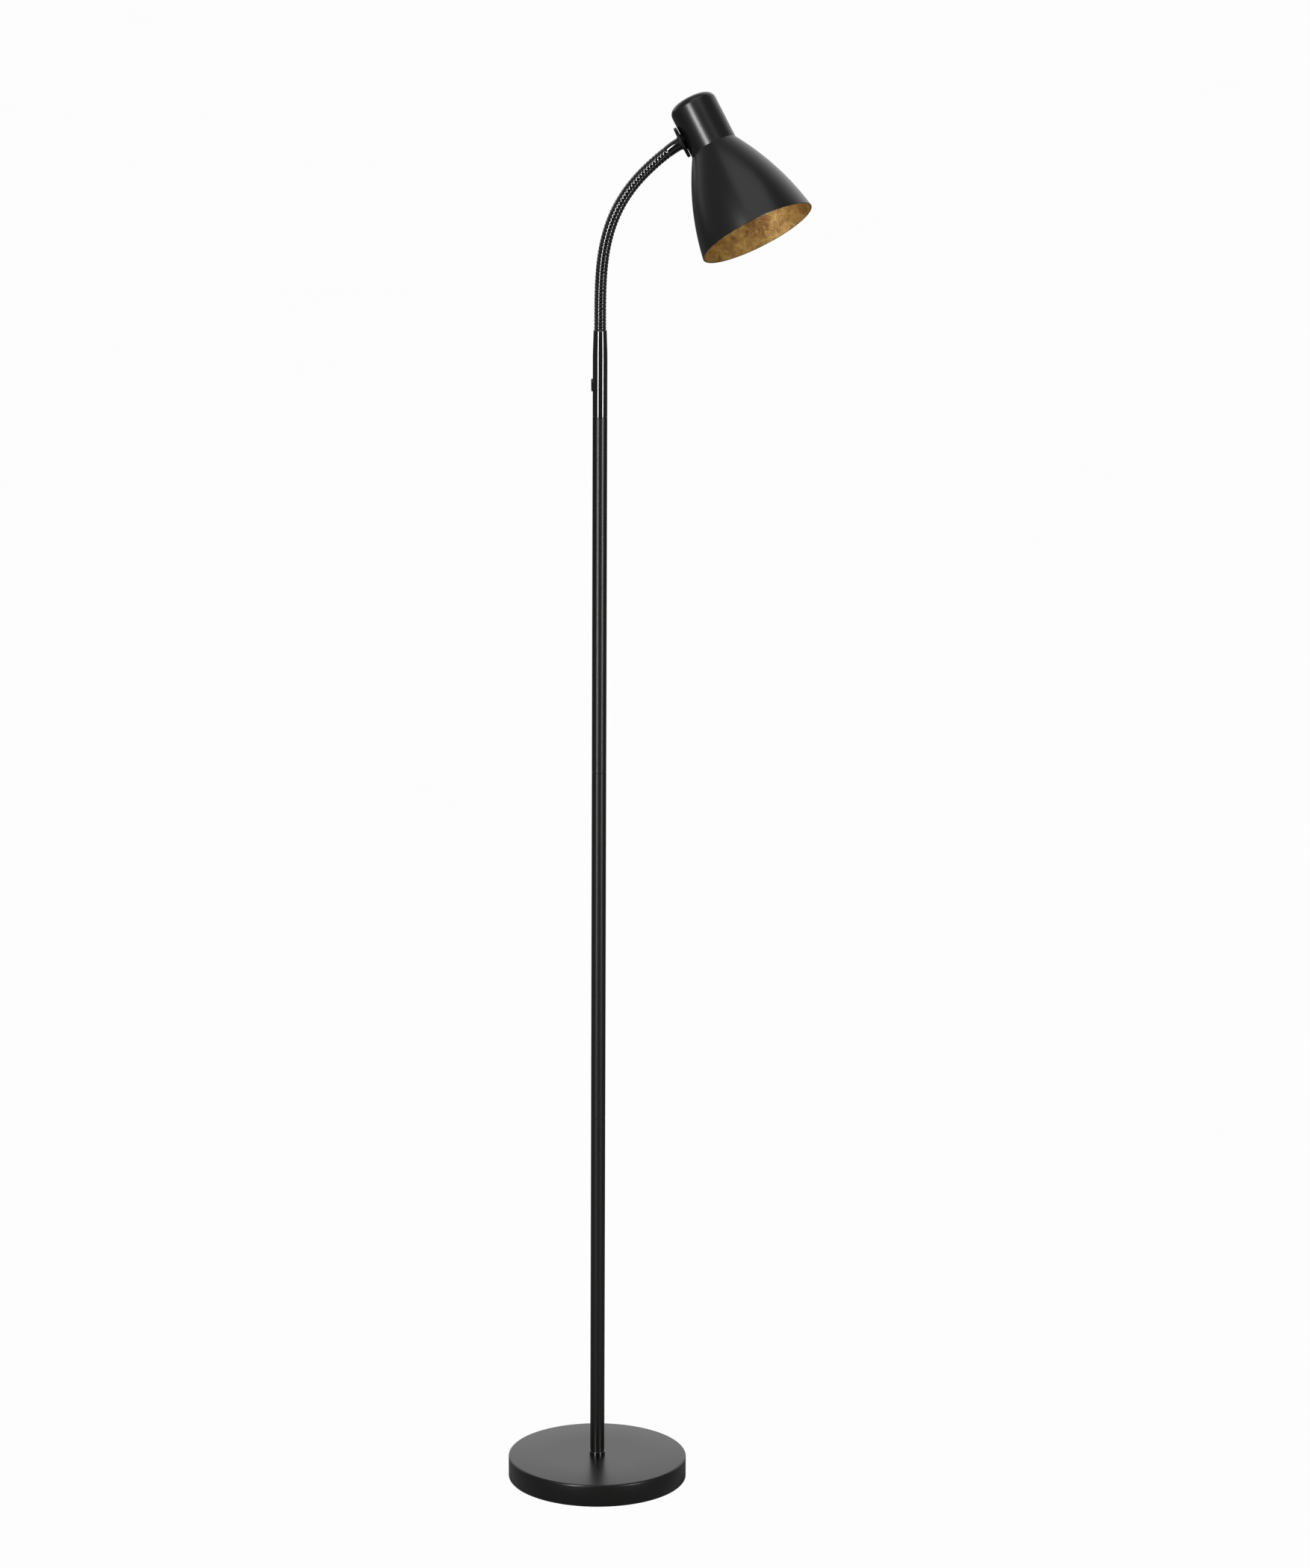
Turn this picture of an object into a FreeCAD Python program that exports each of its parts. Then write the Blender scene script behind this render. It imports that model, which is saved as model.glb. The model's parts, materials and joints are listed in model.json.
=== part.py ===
import FreeCAD, Part
import math
import os
import Sketcher

# A reading floor lamp: a weighted round base, a pole of three screwed tubes, a short
# tube with the rocker switch, a ribbed gooseneck and a spun metal head.
# The origin is the centre of the base on the floor, +Z is up, the gooseneck leans
# towards +X, the switch looks towards -X and the mains lead enters at +Y.
# Lengths are millimetres and angles are degrees.

os.makedirs("parts", exist_ok=True)
doc = FreeCAD.newDocument("ReadingLamp")
sheet = doc.addObject("Spreadsheet::Sheet", "Sizes")
pieces = []


class Size:
    """A number that also carries its formula on the sheet, so a sketch can be bound to it."""

    def __init__(self, value, formula):
        self.value = float(value)
        self.formula = formula

    def __add__(self, other):
        other = as_size(other)
        return Size(self.value + other.value, f"({self.formula} + {other.formula})")

    def __sub__(self, other):
        other = as_size(other)
        return Size(self.value - other.value, f"({self.formula} - {other.formula})")

    def __mul__(self, other):
        other = as_size(other)
        return Size(self.value * other.value, f"({self.formula} * {other.formula})")

    def __truediv__(self, other):
        other = as_size(other)
        return Size(self.value / other.value, f"({self.formula} / {other.formula})")

    def __neg__(self):
        return Size(-self.value, f"(0 - {self.formula})")

    def root(self):
        return Size(math.sqrt(self.value), f"sqrt({self.formula})")


def as_size(number):
    return number if isinstance(number, Size) else Size(number, f"({number})")


def size(alias, number):
    """Write one driving dimension on the next row of the sheet."""
    row = len(sheet.getUsedCells()) // 2 + 1
    sheet.set(f"A{row}", alias)
    sheet.set(f"B{row}", str(number))
    sheet.setAlias(f"B{row}", alias)
    return Size(number, f"Sizes.{alias}")


# ---------------------------------------------------------------- driving dimensions

# Base
BaseDiameter = size("BaseDiameter", 200)
BaseHeight = size("BaseHeight", 26)
BaseEdge = size("BaseEdge", 4)
CoverWall = size("CoverWall", 1.2)
CoverLift = size("CoverLift", 0.6)
PadInset = size("PadInset", 4)
PadThickness = size("PadThickness", 2)
WeightGap = size("WeightGap", 0.3)
RecessDiameter = size("RecessDiameter", 44)
RecessDepth = size("RecessDepth", 10)
LeadDiameter = size("LeadDiameter", 6)
LeadClearance = size("LeadClearance", 0.1)
InletWall = size("InletWall", 1.1)
InletLength = size("InletLength", 9)
InletFlange = size("InletFlange", 1.2)
ChannelGap = size("ChannelGap", 0.3)

# Threaded tube that passes the wires, and what screws on it
ThreadDiameter = size("ThreadDiameter", 10)
WireBore = size("WireBore", 6.6)
ThreadClearance = size("ThreadClearance", 0.05)
HoleClearance = size("HoleClearance", 0.2)
NutFlats = size("NutFlats", 17)
NutHeight = size("NutHeight", 5)
ThinNutFlats = size("ThinNutFlats", 13)
ThinNutHeight = size("ThinNutHeight", 3)

# Pole
PoleDiameter = size("PoleDiameter", 16)
PoleWall = size("PoleWall", 1)
SectionLength = size("SectionLength", 400)
EdgeBreak = size("EdgeBreak", 0.3)
CollarDiameter = size("CollarDiameter", 17.8)
CollarHeight = size("CollarHeight", 4.6)
CollarFloor = size("CollarFloor", 1.2)
PlugClearance = size("PlugClearance", 0.05)
PlugLength = size("PlugLength", 16)
StudLength = size("StudLength", 14)

# Switch tube and rocker switch
SwitchTubeLength = size("SwitchTubeLength", 96.5)
TaperLength = size("TaperLength", 28)
TaperTopDiameter = size("TaperTopDiameter", 14.3)
TaperTopEdge = size("TaperTopEdge", 0.8)
SwitchHeight = size("SwitchHeight", 35)
BezelWidth = size("BezelWidth", 11)
BezelTall = size("BezelTall", 14)
BezelEndRadius = size("BezelEndRadius", 5.9)
BezelProud = size("BezelProud", 1.4)
BezelLip = size("BezelLip", 1)
BezelDepth = size("BezelDepth", 4.6)
SwitchFit = size("SwitchFit", 0.1)
BodyInset = size("BodyInset", 1.2)
BodyDepth = size("BodyDepth", 6.5)
RockerGap = size("RockerGap", 0.35)
RockerThrowAngle = size("RockerThrowAngle", 16)
RockerTall = size("RockerTall", 10.6)
RockerFront = size("RockerFront", 1.4)
RockerBack = size("RockerBack", 1.2)
RockerBackTall = size("RockerBackTall", 7.2)
PivotDepth = size("PivotDepth", 2.4)
WindowDepth = size("WindowDepth", 4.4)
PinDiameter = size("PinDiameter", 1.6)
PinLength = size("PinLength", 9.8)
PinClearance = size("PinClearance", 0.05)
BladeThickness = size("BladeThickness", 0.8)
BladeWidth = size("BladeWidth", 3)
BladeLength = size("BladeLength", 4)
BladeSpacing = size("BladeSpacing", 7)

# Gooseneck
RibPitch = size("RibPitch", 4)
RibDiameter = size("RibDiameter", 13)
GrooveDiameter = size("GrooveDiameter", 12.1)
BallGap = size("BallGap", 0.45)
NoseDiameter = size("NoseDiameter", 8.7)
NoseShoulder = size("NoseShoulder", 11.2)
CupThroat = size("CupThroat", 9.6)
LipSetback = size("LipSetback", 1.3)
StemFit = size("StemFit", 0.05)
StemNutFlats = size("StemNutFlats", 11.8)
RunningGap = size("RunningGap", 0.1)
FirstBendAngle = size("FirstBendAngle", 0.4)
LastBendAngle = size("LastBendAngle", 2.4)
MiddleBendAngle = size("MiddleBendAngle", 6.27)
BendSkew = size("BendSkew", 1.42)
EndAngle = size("EndAngle", 62.5)
SleeveDiameter = size("SleeveDiameter", 13.8)
SleeveStraight = size("SleeveStraight", 7)
SleeveBent = size("SleeveBent", 12)
EndRingDiameter = size("EndRingDiameter", 14.8)
EndRingThickness = size("EndRingThickness", 1.4)

# Head joint
DiscDiameter = size("DiscDiameter", 35)
DiscThickness = size("DiscThickness", 1.6)
HeadStandOff = size("HeadStandOff", 31.4)
HeadSwivelAngle = size("HeadSwivelAngle", 25.3)
SaddleDiameter = size("SaddleDiameter", 18)
SaddleThickness = size("SaddleThickness", 2.2)
StrapThickness = size("StrapThickness", 1.5)
StrapWidth = size("StrapWidth", 12)
StrapBend = size("StrapBend", 1.2)
StemEnd = size("StemEnd", 0.8)

# Head
MouthDiameter = size("MouthDiameter", 130)
BellLength = size("BellLength", 106)
BellRadius = size("BellRadius", 300)
NeckDiameter = size("NeckDiameter", 52)
HeadLength = size("HeadLength", 164)
HeadWall = size("HeadWall", 1.2)
CrownEdge = size("CrownEdge", 9)
PortShare = size("PortShare", 0.36552)

# Lampholder
HolderDiameter = size("HolderDiameter", 28)
HolderWall = size("HolderWall", 2.2)
HolderLip = size("HolderLip", 8.4)
SkirtLength = size("SkirtLength", 32)
CapLength = size("CapLength", 15.5)
CapWall = size("CapWall", 2)
CapShoulder = size("CapShoulder", 1)
StrapDrop = size("StrapDrop", 7)
StrapReach = size("StrapReach", 8)
EntryTubeBelow = size("EntryTubeBelow", 7)
EntryTubeAbove = size("EntryTubeAbove", 1)
ScrewShellBore = size("ScrewShellBore", 14)
ScrewShellWall = size("ScrewShellWall", 0.5)
ScrewShellLength = size("ScrewShellLength", 19)
ShellInset = size("ShellInset", 2)
ContactDiameter = size("ContactDiameter", 5)
ContactHeight = size("ContactHeight", 3)
ContactRim = size("ContactRim", 1)
TerminalScrewDiameter = size("TerminalScrewDiameter", 3)
TerminalScrewLength = size("TerminalScrewLength", 5)
TerminalSpacing = size("TerminalSpacing", 14)

BALLS = 11
FOOT_RIBS = 3
RIB_SIDES = 18
SLEEVE_SIDES = 24
SLEEVE_BANDS = 3
SHADE_SIDES = 60
BELL_BANDS = 8
CROWN_BANDS = 3


# ---------------------------------------------------------------- ways of making a piece

class Arc:
    """A round stretch of an outline, to the left (+1) or right (-1) of the way along it."""

    def __init__(self, radius, side):
        self.radius = as_size(radius)
        self.side = side


def arc_between(start, end, arc):
    """The arc's circle and angles, and whether it runs from start to end anticlockwise."""
    a = FreeCAD.Vector(start[0].value, start[1].value, 0)
    b = FreeCAD.Vector(end[0].value, end[1].value, 0)
    chord = b - a
    rise = math.sqrt(arc.radius.value ** 2 - (chord.Length / 2) ** 2)
    left = FreeCAD.Vector(-chord.y, chord.x, 0).normalize()
    centre = (a + b) * 0.5 + left * (rise * arc.side)
    turns_left = arc.side > 0
    first, last = (a, b) if turns_left else (b, a)
    angles = [math.atan2(p.y - centre.y, p.x - centre.x) for p in (first, last)]
    circle = Part.Circle(centre, FreeCAD.Vector(0, 0, 1), arc.radius.value)
    return Part.ArcOfCircle(circle, angles[0], angles[1]), turns_left


def outline_sketch(body, name, role, outline, offset=None):
    """A closed sketch on one of the body's own planes, each corner placed by the sheet."""
    sketch = body.newObject("Sketcher::SketchObject", name)
    plane = [p for p in body.Origin.OriginFeatures if p.Role == role][0]
    sketch.AttachmentSupport = [(plane, "")]
    sketch.MapMode = "FlatFace"
    if offset is not None:
        sketch.setExpression("AttachmentOffset.Base.z", as_size(offset).formula)
    corners = []
    sides = []
    for item in outline:
        if isinstance(item, Arc):
            sides[-1] = item
        else:
            corners.append((as_size(item[0]), as_size(item[1])))
            sides.append(None)
    ends = []
    for i, side in enumerate(sides):
        start, end = corners[i], corners[(i + 1) % len(corners)]
        if side is None:
            line = Part.LineSegment(
                FreeCAD.Vector(start[0].value, start[1].value, 0),
                FreeCAD.Vector(end[0].value, end[1].value, 0),
            )
            sketch.addGeometry(line)
            ends.append((1, 2))
        else:
            curve, forward = arc_between(start, end, side)
            sketch.addGeometry(curve)
            ends.append((1, 2) if forward else (2, 1))
    for i, corner in enumerate(corners):
        before = i - 1 if i else len(corners) - 1
        sketch.addConstraint(Sketcher.Constraint("Coincident", before, ends[before][1], i, ends[i][0]))
        for kind, place in (("DistanceX", corner[0]), ("DistanceY", corner[1])):
            row = sketch.addConstraint(Sketcher.Constraint(kind, i, ends[i][0], place.value))
            sketch.setExpression(f"Constraints[{row}]", place.formula)
        if sides[i] is not None:
            row = sketch.addConstraint(Sketcher.Constraint("Radius", i, sides[i].radius.value))
            sketch.setExpression(f"Constraints[{row}]", sides[i].radius.formula)
    return sketch


def circle_sketch(body, name, role, centre, radius, offset=None):
    """A round hole's or boss's sketch."""
    sketch = body.newObject("Sketcher::SketchObject", name)
    plane = [p for p in body.Origin.OriginFeatures if p.Role == role][0]
    sketch.AttachmentSupport = [(plane, "")]
    sketch.MapMode = "FlatFace"
    if offset is not None:
        sketch.setExpression("AttachmentOffset.Base.z", as_size(offset).formula)
    x, y, r = as_size(centre[0]), as_size(centre[1]), as_size(radius)
    middle = FreeCAD.Vector(x.value, y.value, 0)
    sketch.addGeometry(Part.Circle(middle, FreeCAD.Vector(0, 0, 1), r.value))
    row = sketch.addConstraint(Sketcher.Constraint("Radius", 0, r.value))
    sketch.setExpression(f"Constraints[{row}]", r.formula)
    for kind, place in (("DistanceX", x), ("DistanceY", y)):
        row = sketch.addConstraint(Sketcher.Constraint(kind, 0, 3, place.value))
        sketch.setExpression(f"Constraints[{row}]", place.formula)
    return sketch


def new_body(label):
    body = doc.addObject("PartDesign::Body", label)
    pieces.append(body)
    return body


def turned(label, outline):
    """A piece turned on a lathe: its half section, spun about its own Z axis."""
    body = new_body(label)
    section = outline_sketch(body, label + "_section", "XZ_Plane", outline)
    spin = body.newObject("PartDesign::Revolution", label + "_turning")
    spin.Profile = section
    spin.ReferenceAxis = (section, ["V_Axis"])
    spin.Angle = 360
    doc.recompute()
    return body


def flat_sided(label, outline, sides, bend_from=None, bend_r=None):
    """A half section stepped round Z in flat sides, which keeps long ribbed runs light.

    Above bend_from, where it is given, the piece is bent towards +X about an axis bend_r away.
    """
    def place(r, z, turn):
        x, y = r * math.cos(turn), r * math.sin(turn)
        if bend_from is None or z <= bend_from.value:
            return FreeCAD.Vector(x, y, z)
        swing = (z - bend_from.value) / bend_r
        arm = bend_r - x
        return FreeCAD.Vector(bend_r - arm * math.cos(swing), y, bend_from.value + arm * math.sin(swing))

    points = [(as_size(r).value, as_size(z).value) for r, z in outline]
    steps = [2 * math.pi * side / sides for side in range(sides + 1)]
    faces = []
    for (r1, z1), (r2, z2) in zip(points, points[1:] + points[:1]):
        for a, b in zip(steps, steps[1:]):
            corners = [(r1, z1, a), (r1, z1, b), (r2, z2, b), (r2, z2, a)]
            if r1 == 0:
                corners = corners[1:]
            if r2 == 0:
                corners = corners[:-1]
            if r1 == 0 and r2 == 0:
                continue
            places = [place(r, z, t) for r, z, t in corners]
            faces.append(Part.Face(Part.makePolygon(places + places[:1])))
    shell = Part.Shell(faces)
    shell.sewShape()
    solid = Part.Solid(shell)
    if solid.Volume < 0:
        solid.reverse()
    made = doc.addObject("Part::Feature", label)
    made.Shape = solid
    return made


def ring(label, outer, inner, low, high):
    """A plain turned ring, washer or tube."""
    return turned(label, [(inner, low), (outer, low), (outer, high), (inner, high)])


def pad(body, name, sketch, length, both_ways=False):
    """Solid grown from a sketch along its normal."""
    grown = body.newObject("PartDesign::Pad", name)
    grown.Profile = sketch
    grown.SideType = "Symmetric" if both_ways else "One side"
    grown.setExpression("Length", as_size(length).formula)
    doc.recompute()
    return grown


def cut(body, name, sketch, length, against_normal):
    """A pocket whose direction is set, with a test that it took something away."""
    before = body.Shape.Volume
    pocket = body.newObject("PartDesign::Pocket", name)
    pocket.Profile = sketch
    pocket.SideType = "One side"
    pocket.Type = "Length"
    pocket.setExpression("Length", as_size(length).formula)
    pocket.Reversed = not against_normal
    doc.recompute()
    if not body.Shape.Volume < before:
        raise RuntimeError(f"{name} cuts nothing")
    return pocket


def round_edges(body, radius, corners, kind="PartDesign::Fillet"):
    """Round or bevel the turned edges that run through the given (r, z) corners."""
    names = []
    for number, edge in enumerate(body.Tip.Shape.Edges, 1):
        if not isinstance(edge.Curve, Part.Circle):
            continue
        for r, z in corners:
            same_radius = abs(edge.Curve.Radius - as_size(r).value) < 1e-4
            if same_radius and abs(edge.Curve.Center.z - as_size(z).value) < 1e-4:
                names.append(f"Edge{number}")
    blend_edges(body, names, radius, kind)


def bend_edges(body, corner, radius):
    """Round a strap's bend: the edge that runs across it at the corner (x, z)."""
    names = []
    for number, edge in enumerate(body.Tip.Shape.Edges, 1):
        ends = [v.Point for v in edge.Vertexes]
        if all(abs(p.x - corner[0].value) < 1e-4 and abs(p.z - corner[1].value) < 1e-4 for p in ends):
            names.append(f"Edge{number}")
    blend_edges(body, names, radius, "PartDesign::Fillet")


def blend_edges(body, names, radius, kind):
    """A fillet or a chamfer on named edges of what the body is so far."""
    if not names:
        raise RuntimeError(f"{body.Name} has no such edge to round")
    tip = body.Tip
    blend = body.newObject(kind, f"{body.Name}_edge{len(body.Group)}")
    blend.Base = (tip, names)
    blend.setExpression("Radius" if kind.endswith("Fillet") else "Size", as_size(radius).formula)
    doc.recompute()


def raise_to(body, height):
    """Stand a piece at its height on the pole's axis."""
    body.setExpression("Placement.Base.z", as_size(height).formula)


# ---------------------------------------------------------------- shared radii and heights

thread_r = ThreadDiameter / 2
wire_r = WireBore / 2
tapped_r = thread_r + ThreadClearance
hole_r = thread_r + HoleClearance
base_r = BaseDiameter / 2
pole_r = PoleDiameter / 2
plug_r = pole_r - PoleWall - PlugClearance
recess_top = PadThickness + RecessDepth
pole_foot = BaseHeight + CollarFloor
seam_low = BaseHeight + SectionLength
seam_middle = seam_low + SectionLength
seam_top = seam_middle + SectionLength
tube_top = seam_top + SwitchTubeLength
port_height = BellLength + (HeadLength - BellLength) * PortShare
strap_top = HeadLength - StrapDrop
neck_inside_r = NeckDiameter / 2 - HeadWall


# ---------------------------------------------------------------- base

def make_base():
    """Pressed cover over a cast weight on a foam pad, clamped by one nut on the threaded tube."""
    weight_r = base_r - CoverWall - WeightGap
    lead_r = LeadDiameter / 2 + LeadClearance
    inlet_r = lead_r + InletWall
    lead_z = PadThickness + ChannelGap + inlet_r
    channel = inlet_r + ChannelGap
    ring("base_pad", base_r - PadInset, RecessDiameter / 2, 0, PadThickness)

    inner_r = base_r - CoverWall
    underside = BaseHeight - CoverWall
    cover = turned("base_cover", [
        (hole_r, underside), (inner_r, underside), (inner_r, CoverLift),
        (base_r, CoverLift), (base_r, BaseHeight), (hole_r, BaseHeight),
    ])
    round_edges(cover, BaseEdge, [(base_r, BaseHeight)], "PartDesign::Chamfer")
    round_edges(cover, BaseEdge - CoverWall / 2, [(inner_r, underside)], "PartDesign::Chamfer")
    notch = circle_sketch(cover, "inlet_hole", "XZ_Plane", (0, lead_z), inlet_r)
    cut(cover, "inlet_cut", notch, base_r + 1, against_normal=True)

    weight = turned("base_weight", [
        (RecessDiameter / 2, PadThickness), (weight_r, PadThickness),
        (weight_r, underside), (hole_r, underside),
        (hole_r, recess_top), (RecessDiameter / 2, recess_top),
    ])
    round_edges(weight, BaseEdge, [(weight_r, underside)], "PartDesign::Chamfer")
    groove = outline_sketch(weight, "lead_channel", "XZ_Plane", [
        (-channel, 0), (channel, 0),
        (channel, lead_z + channel), (-channel, lead_z + channel),
    ])
    cut(weight, "lead_channel_cut", groove, base_r, against_normal=True)

    inlet = turned("cord_inlet", [
        (lead_r, -InletLength), (inlet_r - PlugClearance, -InletLength),
        (inlet_r - PlugClearance, 0), (inlet_r + InletFlange, 0),
        (inlet_r + InletFlange, InletFlange), (lead_r, InletFlange),
    ])
    inlet.Placement = FreeCAD.Placement(
        FreeCAD.Vector(0, base_r.value, lead_z.value),
        FreeCAD.Rotation(FreeCAD.Vector(1, 0, 0), -90),
    )

    raise_to(hex_nut("base_nut", NutFlats, NutHeight), recess_top - NutHeight)
    tube_low = recess_top - NutHeight - 1
    ring("base_tube", thread_r, wire_r, tube_low, pole_foot + PlugLength - 2)


def hex_nut(label, flats, height):
    """A hexagon nut: the blank and its bore."""
    blank = doc.addObject("Part::Prism", label + "_blank")
    blank.Polygon = 6
    blank.setExpression("Circumradius", (flats / math.sqrt(3)).formula)
    blank.setExpression("Height", as_size(height).formula)
    bore = doc.addObject("Part::Cylinder", label + "_bore")
    bore.setExpression("Radius", tapped_r.formula)
    bore.setExpression("Height", as_size(height).formula)
    nut = doc.addObject("Part::Cut", label)
    nut.Base = blank
    nut.Tool = bore
    pieces.append(nut)
    return nut


# ---------------------------------------------------------------- pole

def make_pole():
    """Three equal tubes, screwed end to end by a bush in one end and a stud in the next."""
    socket_r = pole_r + PlugClearance
    collar_r = CollarDiameter / 2
    collar = turned("foot_collar", [
        (hole_r, BaseHeight), (collar_r, BaseHeight), (collar_r, BaseHeight + CollarHeight),
        (socket_r, BaseHeight + CollarHeight), (socket_r, pole_foot), (hole_r, pole_foot),
    ])
    round_edges(collar, EdgeBreak * 2, [(collar_r, BaseHeight + CollarHeight)], "PartDesign::Chamfer")
    tube("pole_lower", pole_foot, seam_low)
    tube("pole_middle", seam_low, seam_middle)
    tube("pole_upper", seam_middle, seam_top)
    seams = {"lower": seam_low, "middle": seam_middle, "top": seam_top}
    bushes = [loose_ring("foot_bush", plug_r, tapped_r, pole_foot, pole_foot + PlugLength)]
    studs = []
    for name, seam in seams.items():
        bushes.append(loose_ring(f"{name}_bush", plug_r, tapped_r, seam - PlugLength, seam))
        studs.append(loose(turned(f"{name}_stud", [
            (wire_r, seam - StudLength), (thread_r, seam - StudLength), (thread_r, seam),
            (plug_r, seam), (plug_r, seam + PlugLength), (wire_r, seam + PlugLength),
        ])))
    group("pole_bushes", bushes)
    group("pole_studs", studs)


def loose(body):
    """A body that is only one member of a group."""
    pieces.remove(body)
    return body


def loose_ring(label, outer, inner, low, high):
    return loose(ring(label, outer, inner, low, high))


def tube(label, low, high):
    """A pole tube with its outer edges broken, which shows as a fine line at each seam."""
    body = ring(label, pole_r, pole_r - PoleWall, low, high)
    round_edges(body, EdgeBreak, [(pole_r, low), (pole_r, high)], "PartDesign::Chamfer")


# ---------------------------------------------------------------- switch tube and switch

def make_switch_tube():
    """The tube under the gooseneck: drawn in at its top, with the switch in its side."""
    top_r = TaperTopDiameter / 2
    shoulder = tube_top - TaperLength
    bore_r = pole_r - PoleWall
    stem_r = thread_r + StemFit
    body = turned("switch_tube", [
        (bore_r, seam_top), (pole_r, seam_top), (pole_r, shoulder), (top_r, tube_top),
        (stem_r, tube_top), (stem_r, shoulder), (bore_r, shoulder),
    ])
    round_edges(body, TaperTopEdge, [(top_r, tube_top)], "PartDesign::Chamfer")
    round_edges(body, EdgeBreak, [(pole_r, seam_top)], "PartDesign::Chamfer")
    middle = seam_top + SwitchHeight
    opening = oval_sketch(body, "switch_opening", middle, BodyInset - SwitchFit, 0)
    cut(body, "switch_opening_cut", opening, pole_r + 1, against_normal=True)
    seat = oval_sketch(body, "bezel_seat", middle, -SwitchFit, BezelProud - BezelDepth + pole_r)
    cut(body, "bezel_seat_cut", seat, pole_r, against_normal=True)


def oval_sketch(body, name, middle, inset, depth):
    """The switch's oval, drawn in by inset, on a plane that lies depth towards -X."""
    half_width = BezelWidth / 2 - inset
    end = BezelEndRadius - inset
    corner = BezelTall / 2 - BezelEndRadius + (end * end - half_width * half_width).root()
    return outline_sketch(body, name, "YZ_Plane", [
        (-half_width, middle + corner), (-half_width, middle - corner), Arc(end, 1),
        (half_width, middle - corner), (half_width, middle + corner), Arc(end, 1),
    ], offset=-as_size(depth))


def make_switch():
    """A snap-in rocker switch: housing, rocker on its pin, and two blades for the leads."""
    middle = seam_top + SwitchHeight
    face = pole_r + BezelProud
    back = face - BezelDepth
    pivot = face - PivotDepth
    pin_r = PinDiameter / 2

    housing = new_body("switch_housing")
    pad(housing, "body_block", oval_sketch(housing, "body_oval", middle, BodyInset, back), BodyDepth)
    bezel = oval_sketch(housing, "bezel_oval", middle, 0, face)
    pad(housing, "bezel_block", bezel, BezelDepth)
    window = oval_sketch(housing, "window_oval", middle, BezelLip, face - WindowDepth)
    cut(housing, "window_cut", window, WindowDepth + 1, against_normal=True)
    bore = circle_sketch(housing, "pin_bore", "XZ_Plane", (-pivot, middle), pin_r, -PinLength / 2)
    cut(housing, "pin_bore_cut", bore, PinLength, against_normal=False)

    side = doc.addObject("PartDesign::Body", "rocker_side")
    half = RockerTall / 2
    rise = half * math.tan(math.radians(RockerThrowAngle.value / 2))
    sketch = outline_sketch(side, "rocker_outline", "XZ_Plane", [
        (-RockerFront, 0), (-(RockerFront + rise), half), (RockerBack, RockerBackTall / 2),
        (RockerBack, -RockerBackTall / 2), (-(RockerFront + rise), -half),
    ])
    pad(side, "rocker_block", sketch, BezelWidth, both_ways=True)
    bore = circle_sketch(side, "rocker_bore", "XZ_Plane", (0, 0), pin_r + PinClearance, -BezelWidth / 2)
    cut(side, "rocker_bore_cut", bore, BezelWidth, against_normal=False)
    face_block = doc.addObject("PartDesign::Body", "rocker_face")
    oval = oval_sketch(face_block, "rocker_oval", as_size(0), BezelLip + RockerGap, BezelWidth)
    pad(face_block, "rocker_oval_block", oval, BezelWidth * 2)
    rocker = doc.addObject("Part::Common", "switch_rocker")
    rocker.Base = side
    rocker.Tool = face_block
    rocker.Placement = FreeCAD.Placement(
        FreeCAD.Vector(-pivot.value, 0, middle.value),
        FreeCAD.Rotation(FreeCAD.Vector(0, 1, 0), -RockerThrowAngle.value / 2),
    )
    pieces.append(rocker)

    pin = doc.addObject("Part::Cylinder", "switch_pin")
    pin.setExpression("Radius", (pin_r - PinClearance / 5).formula)
    pin.setExpression("Height", PinLength.formula)
    pin.Placement = FreeCAD.Placement(
        FreeCAD.Vector(-pivot.value, PinLength.value / 2, middle.value),
        FreeCAD.Rotation(FreeCAD.Vector(1, 0, 0), 90),
    )
    pieces.append(pin)

    blades = []
    for side_sign, name in ((1, "upper_blade"), (-1, "lower_blade")):
        blade = doc.addObject("Part::Box", name)
        blade.setExpression("Length", BladeLength.formula)
        blade.setExpression("Width", BladeThickness.formula)
        blade.setExpression("Height", BladeWidth.formula)
        centre = middle + BladeSpacing / 2 * side_sign
        blade.setExpression("Placement.Base.x", (BodyDepth - back).formula)
        blade.setExpression("Placement.Base.y", (-BladeThickness / 2).formula)
        blade.setExpression("Placement.Base.z", (centre - BladeWidth / 2).formula)
        blades.append(blade)
    group("switch_blades", blades)


def group(label, members):
    """Like pieces that share one node, as separate solids."""
    compound = doc.addObject("Part::Compound", label)
    compound.Links = members
    pieces.append(compound)


# ---------------------------------------------------------------- gooseneck

def ball_bends():
    """How far each ball is turned at rest: small at both ends, largest past the middle."""
    bends = []
    for ball in range(BALLS):
        along = ball / (BALLS - 1)
        ramp = FirstBendAngle.value + (LastBendAngle.value - FirstBendAngle.value) * along
        bends.append(ramp + MiddleBendAngle.value * math.sin(math.pi * along ** BendSkew.value))
    return bends


def rib_corners(first, count):
    """Corners of a run of ribs, from the groove under the first crest to the one over the last."""
    corners = []
    for rib in range(count):
        crest = first + RibPitch * rib
        corners += [(GrooveDiameter / 2, crest - RibPitch / 2), (RibDiameter / 2, crest)]
    corners.append((GrooveDiameter / 2, first + RibPitch * count - RibPitch / 2))
    return corners


def nose_corners(ball):
    """The round nose above a ball's own rib: every point is nearer the centre than its crest."""
    crest_r = RibDiameter / 2
    corners = []
    for diameter in (NoseShoulder, NoseDiameter):
        r = diameter / 2
        corners.append((r, ball + (crest_r * crest_r - r * r).root()))
    corners.append((wire_r, corners[-1][1]))
    return corners


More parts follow.
